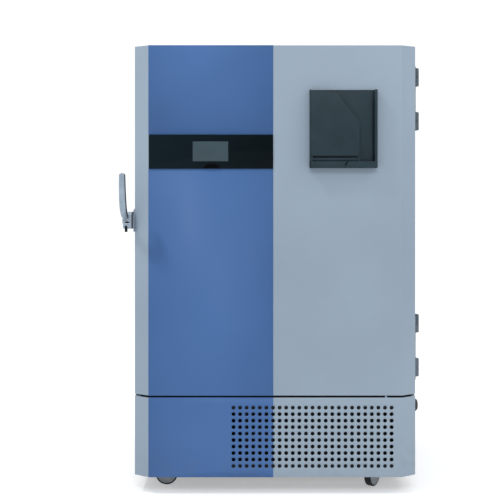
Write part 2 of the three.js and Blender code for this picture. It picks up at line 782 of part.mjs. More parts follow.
// ---- refrigeration ----

const condenserX = halfWidth - lastColumnInset - ((holeColumns - 1) * holePitchAcross) / 2;
const condenserFront = frameFront + railDepth + 26;
const fanZ = machineFloor + condenserHeight / 2;

// A hermetic can with a domed top on a mounting plate.
function compressor() {
  const r = compressorRadius;
  const profile = [[0, 0], [r * 0.86, 0], [r * 0.95, 18]];
  profile.push([r, 60], [r, compressorHeight * 0.66], [r * 0.86, compressorHeight * 0.88]);
  profile.push([r * 0.5, compressorHeight * 0.98], [0, compressorHeight]);
  const can = turned(profile, 16).translate([0, 0, 14]);
  const plate = box([-r - 12, r + 12], [-r * 0.75, r * 0.75], [8, 16]);
  const feet = [[-1, -1], [-1, 1], [1, -1], [1, 1]].map(([x, y]) =>
    rod("z", 12, [0, 10], 12).translate([x * (r - 4), y * r * 0.58, 0]));
  return join([can, plate, ...feet]);
}

// Fins standing on a back plate, like the teeth of a comb seen from above.
function condenser() {
  const fins = 18;
  const pitch = condenserWidth / fins;
  const outline = [[condenserWidth / 2, condenserDepth], [-condenserWidth / 2, condenserDepth]];
  for (let i = 0; i < fins; i += 1) {
    const left = i * pitch - condenserWidth / 2;
    outline.push([left, 0], [left + pitch * 0.4, 0], [left + pitch * 0.4, condenserDepth - 20]);
    outline.push([left + pitch, condenserDepth - 20]);
  }
  return uprightPrism(outline, [0, condenserHeight]);
}

function fanShroud() {
  const half = condenserHeight / 2;
  const plate = box([-half * 1.2, half * 1.2], [0, shroudSheet], [-half, half]);
  const mouth = rod("y", fanRadius + 5, [-1, 2 * fanDepth], 24);
  return plate.add(rod("y", fanRadius + 8, [0, fanDepth + 2], 24)).subtract(mouth);
}

function fanBlades() {
  const blades = 5;
  const shapes = [rod("y", 30, [0, fanDepth])];
  for (let i = 0; i < blades; i += 1) {
    const blade = box([20, fanRadius - 3], [-1.5, 1.5], [-26, 26]).rotate([28, 0, 0]);
    shapes.push(blade.rotate([0, (360 / blades) * i, 0]).translate([0, fanDepth / 2, 0]));
  }
  return join(shapes).subtract(rod("y", shaftRadius + gap, [fanDepth - 12, fanDepth + 1]));
}

const motorRise = bladeRise + fanDepth + motorGap;

// A motor on three arms that come forward to the shroud, with its shaft in the blades' hub.
function fanMotor() {
  const shapes = [rod("y", 42, [0, 60]), rod("y", shaftRadius, [-motorGap - 10, 1])];
  [30, 150, 270].forEach((turn) => {
    const arm = box([0, fanRadius + 24], [4, 8], [-6, 6]);
    const foot = box([fanRadius + 14, fanRadius + 24], [shroudSheet + gap - motorRise, 8], [-6, 6]);
    shapes.push(arm.add(foot).rotate([0, turn, 0]));
  });
  return join(shapes);
}

function addRefrigeration(parent) {
  const shroudFront = condenserFront + condenserDepth + gap;
  const filterFront = frameFront + railDepth + 4;
  const filter = box([condenserX - condenserWidth / 2, condenserX + condenserWidth / 2],
    [filterFront, filterFront + 10], [machineFloor, machineFloor + condenserHeight]);
  piece(parent, "filter_mat", filter, "blackPlastic");

  const condenserGroup = groupAt(parent, condenserX, condenserFront, machineFloor);
  piece(condenserGroup, "condenser", condenser(), "aluminium");

  const fanGroup = groupAt(parent, condenserX, shroudFront, fanZ);
  piece(fanGroup, "fan_shroud", fanShroud(), "darkSteel");
  const blades = groupAt(fanGroup, 0, bladeRise, 0);
  piece(blades, "fan_blades", fanBlades(), "blackPlastic");
  const motor = groupAt(fanGroup, 0, motorRise, 0);
  piece(motor, "fan_motor", fanMotor(), "darkSteel");

  const rowY = bodyDepth - railDepth - compressorRadius - 70;
  const names = ["first_stage_compressor", "second_stage_compressor"];
  names.forEach((name, i) => {
    const group = groupAt(parent, (i - 0.5) * (bodyWidth * 0.44), rowY, machineFloor);
    piece(group, name, compressor(), "darkSteel");
  });

  const boxLeft = postWidth + 12 - frameHalf;
  const electrics = box([boxLeft, boxLeft + 200], [condenserFront, condenserFront + 260],
    [machineFloor, machineFloor + 200]);
  const lid = box([boxLeft - 4, boxLeft + 204], [condenserFront - 4, condenserFront + 264],
    [machineFloor + 199, machineFloor + 206]);
  piece(parent, "electrical_box", electrics.add(lid), "zincSteel");
}

// ---- casters ----

const casters = [
  { name: "front_left", side: -1, y: casterFront, turn: 180, braked: true },
  { name: "front_right", side: 1, y: casterFront, turn: 235, braked: true },
  { name: "rear_left", side: -1, y: bodyDepth - casterBack, turn: 90, braked: false },
  { name: "rear_right", side: 1, y: bodyDepth - casterBack, turn: 90, braked: false },
];

const legInside = wheelWidth / 2 + forkGap;
const legOutside = legInside + forkSheet;
const crownLow = 2 * wheelRadius + 5;
const crownHigh = crownLow + 6;

// A swivel head, a crown, two legs and the axle between them. Its zero is on the swivel axis, at the floor.
function fork(braked) {
  const shapes = [
    rod("z", swivelRadius, [crownHigh - 1, baseHeight - gap], 20),
    box([-22, casterTrail + 18], [-legOutside, legOutside], [crownLow, crownHigh]),
    rod("y", axleRadius, [-legOutside - 3, legOutside + 3], 12).translate([casterTrail, 0, wheelRadius]),
  ];
  const leg = [
    [-22, crownHigh], [casterTrail - 12, wheelRadius - 4], [casterTrail - 6, wheelRadius - 11],
    [casterTrail + 6, wheelRadius - 11], [casterTrail + 12, wheelRadius - 4], [casterTrail + 18, crownHigh],
  ];
  shapes.push(deepPrism([leg], [-legOutside, -legInside]));
  shapes.push(deepPrism([leg], [legInside, legOutside]));
  if (braked) {
    [[-legOutside, -legInside], [legInside, legOutside]].forEach((span) => {
      shapes.push(box([casterTrail + 10, casterTrail + 40], span, [crownLow - 2, crownHigh]));
    });
  }
  return join(shapes);
}

// A solid tyred wheel with its bore, lying flat on one of its facets.
function wheel() {
  const outer = wheelRadius / Math.cos(Math.PI / wheelSides);
  const half = wheelWidth / 2;
  const bore = axleRadius + gap;
  const profile = [
    [bore, -half], [outer * 0.74, -half], [outer, 4 - half],
    [outer, half - 4], [outer * 0.74, half], [bore, half],
    [bore, -half],
  ];
  const points = profile.map(([radius, width]) => new THREE.Vector2(radius, width));
  return solid(new THREE.LatheGeometry(points, wheelSides, Math.PI / wheelSides));
}

const pedalPivot = casterTrail + 34;

// A foot pedal with its barrel on the pivot and its tread sticking out behind the wheel.
function brakePedal() {
  const half = legInside - gap;
  const tread = [[-2, -3], [24, -7], [24, -3], [-2, 4]];
  return deepPrism([tread], [-half, half]).add(rod("y", 5, [-half, half], 12));
}

function addCasters(parent) {
  casters.forEach(({ name, side, y, turn, braked }) => {
    const group = groupAt(parent, side * (halfWidth - casterInset), y, 0);
    group.rotation.z = THREE.MathUtils.degToRad(turn);
    piece(group, `caster_${name}_fork`, fork(braked), "zincSteel");
    const hub = groupAt(group, casterTrail, 0, wheelRadius);
    piece(hub, `caster_${name}_wheel`, wheel(), "tyre");
    if (braked) {
      const pivot = groupAt(group, pedalPivot, 0, crownLow + 2);
      piece(pivot, `caster_${name}_brake`, brakePedal(), "blackPlastic");
    }
  });
}

// ---- the whole object ----

const freezer = new THREE.Group();
const body = groupAt(freezer, 0, 0, 0);
addCabinet(body);
addShelves(body);
addInnerDoors(body);
addDoorSkins(body);
addControls(body);
addHolder(body);
addHingeLeaves(body, 1, "cabinet");
addHingeLeaves(body, -1, "door");
addHandle(body);
addStrike(body);
addBase(body);
addFrontPanel(body);
addRefrigeration(body);
addCasters(body);

// The grip is furthest left and forward, the hinge knuckles furthest right and the spacers furthest back.
const reachLeft = 3 - hubLeft;
const reachRight = hingeOut + hingeBarrelRadius;
body.position.x = (reachLeft - reachRight) / 2;
body.position.y = (gripForward - bodyDepth - spacerDepth) / 2;

export default freezer;
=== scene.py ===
import json
import math

import bmesh
import bpy
import numpy as np
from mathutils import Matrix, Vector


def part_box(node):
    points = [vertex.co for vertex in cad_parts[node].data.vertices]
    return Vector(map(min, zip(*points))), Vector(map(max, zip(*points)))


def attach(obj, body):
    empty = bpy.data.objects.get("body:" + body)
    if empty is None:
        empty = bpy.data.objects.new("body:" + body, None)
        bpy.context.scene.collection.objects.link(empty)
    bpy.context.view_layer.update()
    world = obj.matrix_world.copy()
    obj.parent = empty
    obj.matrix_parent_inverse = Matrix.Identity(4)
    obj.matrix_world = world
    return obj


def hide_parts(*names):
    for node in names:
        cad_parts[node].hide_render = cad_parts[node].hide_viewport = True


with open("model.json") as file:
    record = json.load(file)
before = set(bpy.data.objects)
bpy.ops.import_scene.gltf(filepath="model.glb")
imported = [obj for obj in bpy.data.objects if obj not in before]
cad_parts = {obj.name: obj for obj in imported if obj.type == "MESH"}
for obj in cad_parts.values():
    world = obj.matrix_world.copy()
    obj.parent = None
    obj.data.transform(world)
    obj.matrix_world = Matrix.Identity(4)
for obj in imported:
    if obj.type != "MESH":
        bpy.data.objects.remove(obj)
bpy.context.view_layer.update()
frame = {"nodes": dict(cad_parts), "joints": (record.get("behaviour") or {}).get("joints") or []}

scene = bpy.context.scene
joints = {joint["name"]: joint for joint in frame["joints"]}


# places in the CAD

def corners(node):
    # lowest and highest corner of a CAD node
    low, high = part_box(node)
    return np.array(low), np.array(high)


def jointPlace(name):
    return np.array(joints[name]["pos_m"], float)


doorLow, doorHigh = corners("door_skin")
middleX = (doorLow[0] + doorHigh[0]) / 2
frontY = doorLow[1]  # front face of the door and of the front panel


# surfaces; each is a pair: points (n, 3), and faces as lists of point numbers

def gridFaces(rows, columns, closeRows=False, closeColumns=False):
    # a quad between each point of a grid and its neighbours in the next row and column
    r, c = np.meshgrid(np.arange(rows if closeRows else rows - 1),
                       np.arange(columns if closeColumns else columns - 1), indexing="ij")
    nextR, nextC = (r + 1) % rows, (c + 1) % columns
    quads = np.stack([r * columns + c, r * columns + nextC, nextR * columns + nextC, nextR * columns + c], -1)
    return quads.reshape(-1, 4).tolist()


def gridShape(points, closeRows=False, closeColumns=False, capFirst=False, capLast=False):
    # a grid of points (rows, columns, 3) as a surface, with its first and last rows filled if asked
    rows, columns = points.shape[:2]
    faces = gridFaces(rows, columns, closeRows, closeColumns)
    if capFirst:
        faces.append(list(range(columns))[::-1])
    if capLast:
        faces.append([(rows - 1) * columns + i for i in range(columns)])
    return points.reshape(-1, 3), faces


def joined(*shapes):
    # several surfaces as one, the faces of each renumbered by the points before it
    points, faces, count = [], [], 0
    for shapePoints, shapeFaces in shapes:
        points.append(shapePoints)
        faces += [[i + count for i in face] for face in shapeFaces]
        count += len(shapePoints)
    return np.concatenate(points), faces


def copies(shape, places):
    # the same surface moved to each place
    points, faces = shape
    places = np.asarray(places, float).reshape(-1, 3)
    moved = (points[None] + places[:, None]).reshape(-1, 3)
    return moved, [[i + k * len(points) for i in face] for k in range(len(places)) for face in faces]


def turnedBy(points, degrees, axis, centre=(0, 0, 0)):
    # points turned about an axis line parallel to x, y or z, by the right-hand rule
    i = "xyz".index(axis)
    j, k = (i + 1) % 3, (i + 2) % 3
    turn = math.radians(degrees)
    out = np.array(points, float) - centre
    a, b = out[..., j].copy(), out[..., k].copy()
    out[..., j] = a * math.cos(turn) - b * math.sin(turn)
    out[..., k] = a * math.sin(turn) + b * math.cos(turn)
    return out + centre


def bent(line, radius, steps=5):
    # an open line whose inner corners become arcs tangent to both legs: a point on the arc is
    # centre + (sin((1-t)*turn)*start + sin(t*turn)*end) / sin(turn)
    p = np.asarray(line, float)
    corner = p[1:-1]
    a, b = p[:-2] - corner, p[2:] - corner
    a /= np.linalg.norm(a, axis=1, keepdims=True)
    b /= np.linalg.norm(b, axis=1, keepdims=True)
    half = np.arccos(np.clip((a * b).sum(1), -0.99999, 0.99999))[:, None] / 2
    r = np.broadcast_to(np.asarray(radius, float), (len(corner),))[:, None]
    middle = a + b
    centre = corner + middle / np.linalg.norm(middle, axis=1, keepdims=True) * r / np.sin(half)
    start, end = corner + a * r / np.tan(half) - centre, corner + b * r / np.tan(half) - centre
    turn = (math.pi - 2 * half)[:, None]
    t = np.linspace(0, 1, steps)[None, :, None]
    swept = np.sin((1 - t) * turn) * start[:, None] + np.sin(t * turn) * end[:, None]
    arc = centre[:, None] + swept / np.sin(turn)
    return np.concatenate([p[:1], arc.reshape(-1, p.shape[1]), p[-1:]])


def rounded(outline, radius, steps=5):
    # a closed outline with every corner an arc
    p = np.asarray(outline, float)
    return bent(np.vstack([p[-1:], p, p[:1]]), radius, steps)[1:-1]


def rectangle(left, right, low, high, radius=0.0, steps=5):
    outline = np.array([(left, low), (right, low), (right, high), (left, high)], float)
    return rounded(outline, radius, steps) if radius else outline


def movedIn(line, distance, closed=True):
    # every point moves to the left of travel, along the mean normal of its two edges
    step = np.roll(line, -1, 0) - line
    normal = np.stack([-step[:, 1], step[:, 0]], 1)
    normal /= np.maximum(np.linalg.norm(normal, axis=1, keepdims=True), 1e-12)
    if not closed:
        normal[-1] = normal[-2]
    before = np.roll(normal, 1, 0)
    if not closed:
        before[0] = normal[0]
    return line + distance * (normal + before) / (1 + (normal * before).sum(1))[:, None]


def onAxis(outline, height, axis):
    # a flat outline in the two other axes, in their order, placed at a height along an axis
    out = np.empty((len(outline), 3))
    i = "xyz".index(axis)
    others = [k for k in range(3) if k != i]
    out[:, others[0]], out[:, others[1]], out[:, i] = outline[:, 0], outline[:, 1], height
    return out


def stacked(outline, levels, axis, closed=True):
    # one ring for each (height, inset) level
    return np.stack([onAxis(movedIn(outline, inset, closed), height, axis) for height, inset in levels])


def rimLevels(low, high, ease, steps=4):
    # heights and insets of a rounded rim at both ends: inset = ease*(1-sin a), rise = ease*(1-cos a)
    a = np.linspace(0, math.pi / 2, steps)
    inset, rise = ease * (1 - np.sin(a)), ease * (1 - np.cos(a))
    atLow = [(low + h, i) for h, i in zip(rise, inset)]
    return atLow + [(high - h, i) for h, i in zip(rise[::-1], inset[::-1])]


def slab(outline, low, high, axis, ease=0.001, steps=4):
    # a flat outline (counter-clockwise) carried along an axis, with both rims rounded
    rings = stacked(np.asarray(outline, float), rimLevels(low, high, ease, steps), axis)
    return gridShape(rings, closeColumns=True, capFirst=True, capLast=True)


def block(low, high, axis="y", corner=0.002, ease=0.001, steps=4):
    # a box with rounded long edges and eased rims
    i = "xyz".index(axis)
    a, b = [k for k in range(3) if k != i]
    return slab(rectangle(low[a], high[a], low[b], high[b], corner, steps), low[i], high[i], axis,
                ease, steps)


def circlePoints(sides):
    angle = np.arange(sides) * 2 * math.pi / sides
    return np.stack([np.cos(angle), np.sin(angle)], 1)


def turnedShape(profile, place, axis="z", sides=48, cap=True):
    # a profile of (radius, height) points turned about an axis through place
    rows = np.stack([onAxis(circlePoints(sides) * max(r, 1e-7), h, axis) for r, h in profile])
    points, faces = gridShape(rows, closeColumns=True, capFirst=cap, capLast=cap)
    return points + np.asarray(place, float), faces


def tube(path, radius, sides=12):
    # a circle carried along a path; each section is square to the path and turned as little as possible
    path = np.asarray(path, float)
    tangent = np.gradient(path, axis=0)
    tangent /= np.linalg.norm(tangent, axis=1, keepdims=True)
    side = np.cross(tangent[0], (0.0, 0.0, 1.0) if abs(tangent[0, 2]) < 0.9 else (1.0, 0.0, 0.0))
    sideways = []
    for t in tangent:
        side = side - t * np.dot(side, t)
        side = side / np.linalg.norm(side)
        sideways.append(side)
    sideways = np.array(sideways)
    across = np.cross(tangent, sideways)
    angle = np.arange(sides) * 2 * math.pi / sides
    radius = np.broadcast_to(np.asarray(radius, float), (len(path),))[:, None, None]
    ring = sideways[:, None] * np.cos(angle)[None, :, None] + across[:, None] * np.sin(angle)[None, :, None]
    return gridShape(path[:, None] + radius * ring, closeColumns=True, capFirst=True, capLast=True)


def screws(places, axis, sign, radius, height):
    # button-head screws with a socket; sign says which way along the axis the heads stand
    profile = [(0, 0.45), (0.42, 0.45), (0.42, 0.95), (0.62, 1.0), (0.86, 0.75), (1.0, 0.3), (1.0, 0), (0, 0)]
    profile = [(r * radius, sign * h * height) for r, h in profile]
    return copies(turnedShape(profile, (0, 0, 0), axis, 12, cap=False), places)


def alongLine(start, end, count):
    return np.linspace(np.asarray(start, float), np.asarray(end, float), count)


def borderLines(centres, step):
    # the 16 points round each square cell fall along one side at -1, -tan(22.5), 0 and tan(22.5)
    # half steps
    marks = np.array([-1, -math.tan(math.pi / 8), 0, math.tan(math.pi / 8)]) * step / 2
    return np.concatenate([(centres[:, None] + marks).ravel(), [centres[-1] + step / 2]])


def perforated(left, right, low, high, y, columns, rows, pitch, radius, clipX=None, sides=16):
    # a flat sheet of square cells, each a ring between its border and a round hole, with plain sheet round
    # them; clipX cuts the sheet off straight at that place
    circle = circlePoints(sides)
    square = circle / np.abs(circle).max(1, keepdims=True)
    xs, zs = borderLines(columns, pitch[0]), borderLines(rows, pitch[1])
    gridX, gridZ = np.concatenate([[left], xs, [right]]), np.concatenate([[low], zs, [high]])
    z, x = np.meshgrid(gridZ, gridX, indexing="ij")
    points = np.stack([x, np.full_like(x, y), z], -1).reshape(-1, 3)
    quads = np.array(gridFaces(len(gridZ), len(gridX))).reshape(len(gridZ) - 1, len(gridX) - 1, 4)
    outside = np.ones(quads.shape[:2], bool)
    outside[1:-1, 1:-1] = False
    border = quads[outside]
    centreX, centreZ = np.meshgrid(columns, rows)
    centre = np.stack([centreX.ravel(), centreZ.ravel()], 1)[:, None]
    ring = np.concatenate([square * np.array(pitch) / 2, circle * radius])[None] + centre
    cellPoints = np.stack([ring[..., 0], np.full(ring.shape[:2], y), ring[..., 1]], -1).reshape(-1, 3)
    k = np.arange(sides)
    template = np.stack([k, (k + 1) % sides, (k + 1) % sides + sides, k + sides], 1)
    cellStarts = len(points) + 2 * sides * np.arange(len(centre))
    cells = (template[None] + cellStarts[:, None, None]).reshape(-1, 4)
    points = np.concatenate([points, cellPoints])
    faces = np.concatenate([border, cells])
    if clipX is not None:
        points[:, 0] = np.minimum(points[:, 0], clipX)
    p = points[faces]
    area = np.linalg.norm(np.cross(p[:, 2] - p[:, 0], p[:, 3] - p[:, 1]), axis=1)
    return points, faces[area > 1e-10].tolist()


# pieces

mergeGap = 2e-6


def makePiece(name, shape, body, finish, stands=(), turnOut=True, sheet=0.0,
              smooth=35.0, offset=-1.0):
    # a mesh from a surface: doubles merged, faces turned outwards, then a wall if asked
    points, faces = shape
    mesh = bpy.data.meshes.new(name)
    mesh.from_pydata(points.tolist(), [], faces)
    work = bmesh.new()
    work.from_mesh(mesh)
    bmesh.ops.remove_doubles(work, verts=work.verts, dist=mergeGap)
    bmesh.ops.dissolve_degenerate(work, edges=work.edges, dist=mergeGap / 20)
    if turnOut:
        bmesh.ops.recalc_face_normals(work, faces=work.faces)
    work.to_mesh(mesh)
    work.free()
    mesh.shade_smooth()
    mesh.set_sharp_from_angle(angle=math.radians(smooth))
    piece = bpy.data.objects.new(name, mesh)
    scene.collection.objects.link(piece)
    mesh.materials.append(finish.material)
    if sheet:
        wall = piece.modifiers.new("wall", "SOLIDIFY")
        wall.thickness, wall.offset, wall.use_even_offset = sheet, offset, True
    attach(piece, body)
    if stands:
        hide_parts(*stands)


def addScrews(name, places, axis="y", sign=1, radius=0.0042, height=0.0022):
    # plated screws that hold a cover of the cabinet
    makePiece(name, screws(places, axis, sign, radius, height), "cabinet", screwPlate)


def keepNode(node, finish):
    # a CAD node whose shape is right gets only its finish
    mesh = frame["nodes"][node].data
    mesh.materials.clear()
    mesh.materials.append(finish.material)


# finishes

class Number:
    # a number that varies over a surface; sums, products and the rest add their Math nodes
    def __init__(self, finish, socket):
        self.finish, self.socket = finish, socket

    def sum(self, operation, *others, clamp=False):
        values = dict(enumerate((self, *others)))
        made = self.finish.node("Math", {"operation": operation, "use_clamp": clamp}, values)
        return Number(self.finish, made.outputs[0])

    def __add__(self, other):
        return self.sum("ADD", other)

    def __radd__(self, other):
        return self.sum("ADD", other)

    def __sub__(self, other):
        return self.sum("SUBTRACT", other)

    def __rsub__(self, other):
        return self.finish.constant(other).sum("SUBTRACT", self)

    def __mul__(self, other):
        return self.sum("MULTIPLY", other)

    def __truediv__(self, other):
        return self.sum("DIVIDE", other)

    def above(self, edge, soft):
        # 0 below edge - soft, 1 above edge + soft
        return self.finish.number(self.finish.node("MapRange", {"interpolation_type": "SMOOTHSTEP"},
                                                   {0: self, 1: edge - soft, 2: edge + soft}))

    def limited(self):
        return self.sum("ADD", 0.0, clamp=True)


class Finish:
    # a material with its shader and the point on the piece that its patterns are worked out from
    def __init__(self, name, **values):
        self.material = bpy.data.materials.new(name)
        self.material.use_nodes = True
        self.tree = self.material.node_tree
        self.shader = self.tree.nodes["Principled BSDF"]
        self.point = self.node("TexCoord").outputs["Object"]
        self.set(**values)

    def feed(self, node, values):
        for key, value in values.items():
            source = getattr(value, "socket", value)
            if isinstance(source, bpy.types.NodeSocket):
                self.tree.links.new(source, node.inputs[key])
            else:
                node.inputs[key].default_value = value

    def node(self, kind, settings={}, values={}):
        made = self.tree.nodes.new("ShaderNode" + kind)
        for key, value in settings.items():
            setattr(made, key, value)
        self.feed(made, values)
        return made

    def number(self, node, output=0):
        return Number(self, node.outputs[output])

    def constant(self, value):
        return self.number(self.node("Math", {"operation": "ADD"}, {0: value, 1: 0.0}))

    def stretched(self, scale):
        return self.node("Mapping", {"vector_type": "TEXTURE"},
                         {"Vector": self.point, "Scale": scale}).outputs[0]

    def noise(self, scale, detail=2.0, stretch=None, sharp=0.5, warp=0.0):
        point = self.stretched(stretch) if stretch else self.point
        return self.number(self.node("TexNoise", {}, {"Vector": point, "Scale": scale, "Detail": detail,
                                                      "Roughness": sharp, "Distortion": warp}))

    def cells(self, scale, output="Distance"):
        return self.number(self.node("TexVoronoi", {}, {"Vector": self.point, "Scale": scale}), output)

    def zigzag(self, axis, cell):
        # up and down between 0 and half a cell along an axis
        return self.number(self.node("Math", {"operation": "PINGPONG"}, {0: self.along(axis), 1: cell / 2}))

    def share(self, axis, low, high):
        # 0 at low and 1 at high along an axis
        return self.number(self.node("MapRange", {}, {0: self.along(axis), 1: low, 2: high}))

    def along(self, axis):
        return self.number(self.node("SeparateXYZ", {}, {0: self.point}), "XYZ".index(axis))

    def mixed(self, amount, first, second):
        # inputs 6 and 7 and output 2 are the colour ones
        return self.node("Mix", {"data_type": "RGBA"}, {0: amount, 6: first, 7: second}).outputs[2]

    def bump(self, height, distance, strength):
        return self.node("Bump", {}, {"Height": height, "Distance": distance,
                                      "Strength": strength}).outputs[0]

    def set(self, **values):
        names = {"colour": "Base Color", "roughness": "Roughness", "metal": "Metallic", "normal": "Normal",
                 "specular": "Specular IOR Level", "glow": "Emission Color",
                 "glowStrength": "Emission Strength"}
        self.feed(self.shader, {names[key]: value for key, value in values.items()})
        return self


def paint(code):
    # a colour from its six-figure code, as the linear values that a shader wants
    parts = [int(code[i:i + 2], 16) / 255 for i in (0, 2, 4)]
    linear = [p / 12.92 if p <= 0.04045 else ((p + 0.055) / 1.055) ** 2.4 for p in parts]
    return (*linear, 1.0)


def powderCoat(name, light, dark, grime, look):
    # satin powder coat: fine orange peel, slow clouds of tone, hand-wiped patches in the gloss,
    # dust near the floor
    finish = Finish(name, specular=look["specular"])
    clouds = finish.noise(look["cloudScale"], 3)
    wiped = finish.noise(5.5, 4, stretch=(1, 1, 2.4))
    fine = finish.noise(look["peelScale"], 1.5)
    low = 1 - finish.along("Z").above(look["dustTop"] / 2, look["dustTop"] / 2)
    dust = (low * finish.noise(26, 5).above(0.55, 0.2) * look["dust"]).limited()
    tone = finish.mixed(clouds.above(0.5, 0.22), paint(dark), paint(light))
    finish.set(colour=finish.mixed(dust, tone, paint(grime)))
    finish.set(roughness=look["roughness"] + (wiped - 0.5) * 0.14 + dust * 0.3)
    return finish.set(normal=finish.bump(fine, look["peelDepth"], 0.6))


def mouldedPlastic(name, light, dark, roughness, grainScale=900, grainDepth=0.00006, specular=0.4):
    # spark-eroded plastic: a fine even grain, faint flow clouds and rubbed spots
    finish = Finish(name, specular=specular)
    grain = finish.noise(grainScale, 2, sharp=0.65)
    flow = finish.noise(14, 3, warp=0.6)
    rubbed = finish.noise(32, 4).above(0.62, 0.12)
    finish.set(colour=finish.mixed(flow.above(0.5, 0.3), paint(dark), paint(light)))
    finish.set(roughness=(roughness + (grain - 0.5) * 0.12 - rubbed * 0.07).limited())
    return finish.set(normal=finish.bump(grain, grainDepth, 0.8))


def brushedSteel(name, light, dark, roughness, stretch, scale=260, depth=0.00003):
    # satin metal: long thin scratches along one axis in its tone, gloss and surface
    finish = Finish(name, metal=1.0)
    lines = finish.noise(scale, 3, stretch=stretch, sharp=0.7)
    broad = finish.noise(3.2, 3)
    marks = finish.noise(60, 5, sharp=0.6).above(0.66, 0.06)
    finish.set(colour=finish.mixed((lines * 0.7 + broad * 0.3).above(0.5, 0.2), paint(dark), paint(light)))
    finish.set(roughness=(roughness + (lines - 0.5) * 0.2 + marks * 0.12).limited())
    return finish.set(normal=finish.bump(lines, depth, 0.7))


def platedSteel(name, light, dark, roughness=0.38, spangle=140):
    # bright zinc: faint crystal spangles that differ in tone and gloss
    finish = Finish(name, metal=1.0)
    crystals = finish.number(finish.node("SeparateColor", {}, {0: finish.cells(spangle, "Color")}))
    stains = finish.noise(30, 4).above(0.6, 0.16)
    finish.set(colour=finish.mixed(crystals * 0.5 + stains * 0.4, paint(light), paint(dark)))
    finish.set(roughness=(roughness + crystals * 0.12 + stains * 0.15).limited())
    return finish.set(normal=finish.bump(finish.noise(420, 2), 0.00003, 0.6))


def coatedCasting(name, light, dark, roughness=0.36):
    # a casting under a thin satin coat: soft sand texture, worn slightly brighter in patches
    finish = Finish(name, metal=0.35, specular=0.5)
    sand = finish.noise(520, 3)
    worn = finish.noise(24, 4).above(0.58, 0.2)
    finish.set(colour=finish.mixed(worn, paint(dark), paint(light)))
    finish.set(roughness=roughness + (sand - 0.5) * 0.16 - worn * 0.06)
    return finish.set(normal=finish.bump(sand, 0.00008, 0.7))


def polishedAcrylic(name, light, dark, specular):
    # back-painted black acrylic: mirror gloss with faint wipe marks, and a painted reflection that makes it a
    # shade lighter towards its left end
    finish = Finish(name, specular=specular)
    smear = finish.noise(16, 5, stretch=(2.2, 1, 1), sharp=0.6).above(0.56, 0.16)
    # painted reflection: from the lighter colour at the left end to the darker one at the middle
    share = finish.share("X", doorLow[0] + 0.05, middleX)
    finish.set(colour=finish.mixed(share, paint(light), paint(dark)))
    finish.set(roughness=0.07 + smear * 0.1)
    return finish.set(normal=finish.bump(finish.noise(7, 1), 0.0004, 0.12))


def displayGlass(name, light, dark):
    # an unlit display: a fine grid of display cells under glass
    finish = Finish(name, specular=0.2)
    cell = 0.0011
    across, up = finish.zigzag("X", cell) / cell, finish.zigzag("Z", cell) / cell
    line = (1 - across.above(0.06, 0.05) * up.above(0.06, 0.05)) * 0.35
    tone = finish.mixed(finish.noise(9, 2).above(0.5, 0.3), paint(dark), paint(light))
    finish.set(colour=finish.mixed(line, tone, paint("2C383E")))
    return finish.set(roughness=0.16 + finish.noise(40, 4) * 0.08)


def softRubber(name, light, dark, roughness=0.62):
    # extruded rubber: faint lengthwise streaks and pale bloom
    finish = Finish(name, specular=0.3)
    bloom = finish.noise(55, 5).above(0.6, 0.2)
    skin = finish.noise(700, 2)
    finish.set(colour=finish.mixed(bloom, paint(dark), paint(light)))
    finish.set(roughness=roughness + bloom * 0.16 + (skin - 0.5) * 0.1)
    return finish.set(normal=finish.bump(skin, 0.00005, 0.8))


def rigidFoam(name, light, dark):
    # cut polyurethane foam: small open cells and a slow yellowing
    finish = Finish(name, specular=0.15)
    pores = finish.cells(420)
    aged = finish.noise(6, 4)
    finish.set(colour=finish.mixed((pores * 0.5 + aged * 0.6).above(0.55, 0.3), paint(dark), paint(light)))
    finish.set(roughness=0.88 + pores * 0.08)
    return finish.set(normal=finish.bump(pores, 0.0005, 0.8))


def filterMesh(name, light, dark):
    # coarse woven filter: square threads, with painted shade in the open cells between them, and lint in
    # places
    finish = Finish(name, specular=0.2)
    cell = 0.004
    across, up = finish.zigzag("X", cell) / cell, finish.zigzag("Z", cell) / cell
    thread = 1 - across.above(0.16, 0.06) * up.above(0.16, 0.06)
    lint = finish.noise(34, 5).above(0.6, 0.1) * 0.5
    # the open cells take the darker colour: painted shade seen through the weave
    finish.set(colour=finish.mixed((thread * 0.7 + lint).limited(), paint(dark), paint(light)))
    finish.set(roughness=0.9)
    return finish.set(normal=finish.bump(thread, 0.0008, 1.0))


def copperPipe(name):
    # drawn copper: warm metal, browner where it has been handled and brazed
    finish = Finish(name, metal=1.0)
    tarnish = finish.noise(45, 5, sharp=0.6).above(0.5, 0.2)
    finish.set(colour=finish.mixed(tarnish, paint("C98B62"), paint("7C4A34")))
    finish.set(roughness=0.28 + tarnish * 0.25)
    return finish.set(normal=finish.bump(finish.noise(300, 3), 0.00004, 0.6))


coatLook = dict(specular=0.16, cloudScale=1.3, peelScale=620, peelDepth=0.00009, roughness=0.52, dustTop=0.35,
                dust=0.3)
greyCoat = powderCoat("greyCoat", "8B9AA8", "8492A1", "7E878E", coatLook)
blueCoat = powderCoat("blueCoat", "446699", "3F6091", "54667F", coatLook)
blackCoat = powderCoat("blackCoat", "25292D", "1E2225", "3A3A38", dict(coatLook, roughness=0.5, dust=0.5))
# a near-black coat for the chassis; its darkness is partly painted shade where the chassis shows through the
# grille holes
chassisCoat = powderCoat("chassisCoat", "16191C", "111315", "2A2A29",
                         dict(coatLook, roughness=0.55, dust=0.4))
# in both acrylics the first colour is a painted reflection at the left end, the second the colour towards the
# middle
bandAcrylic = polishedAcrylic("bandAcrylic", "0F1B21", "070E11", 0.04)
windowAcrylic = polishedAcrylic("windowAcrylic", "030507", "020304", 0.06)
displayFace = displayGlass("displayFace", "394951", "334047")
holderPlastic = mouldedPlastic("holderPlastic", "1F3038", "192930", 0.5, specular=0.2)
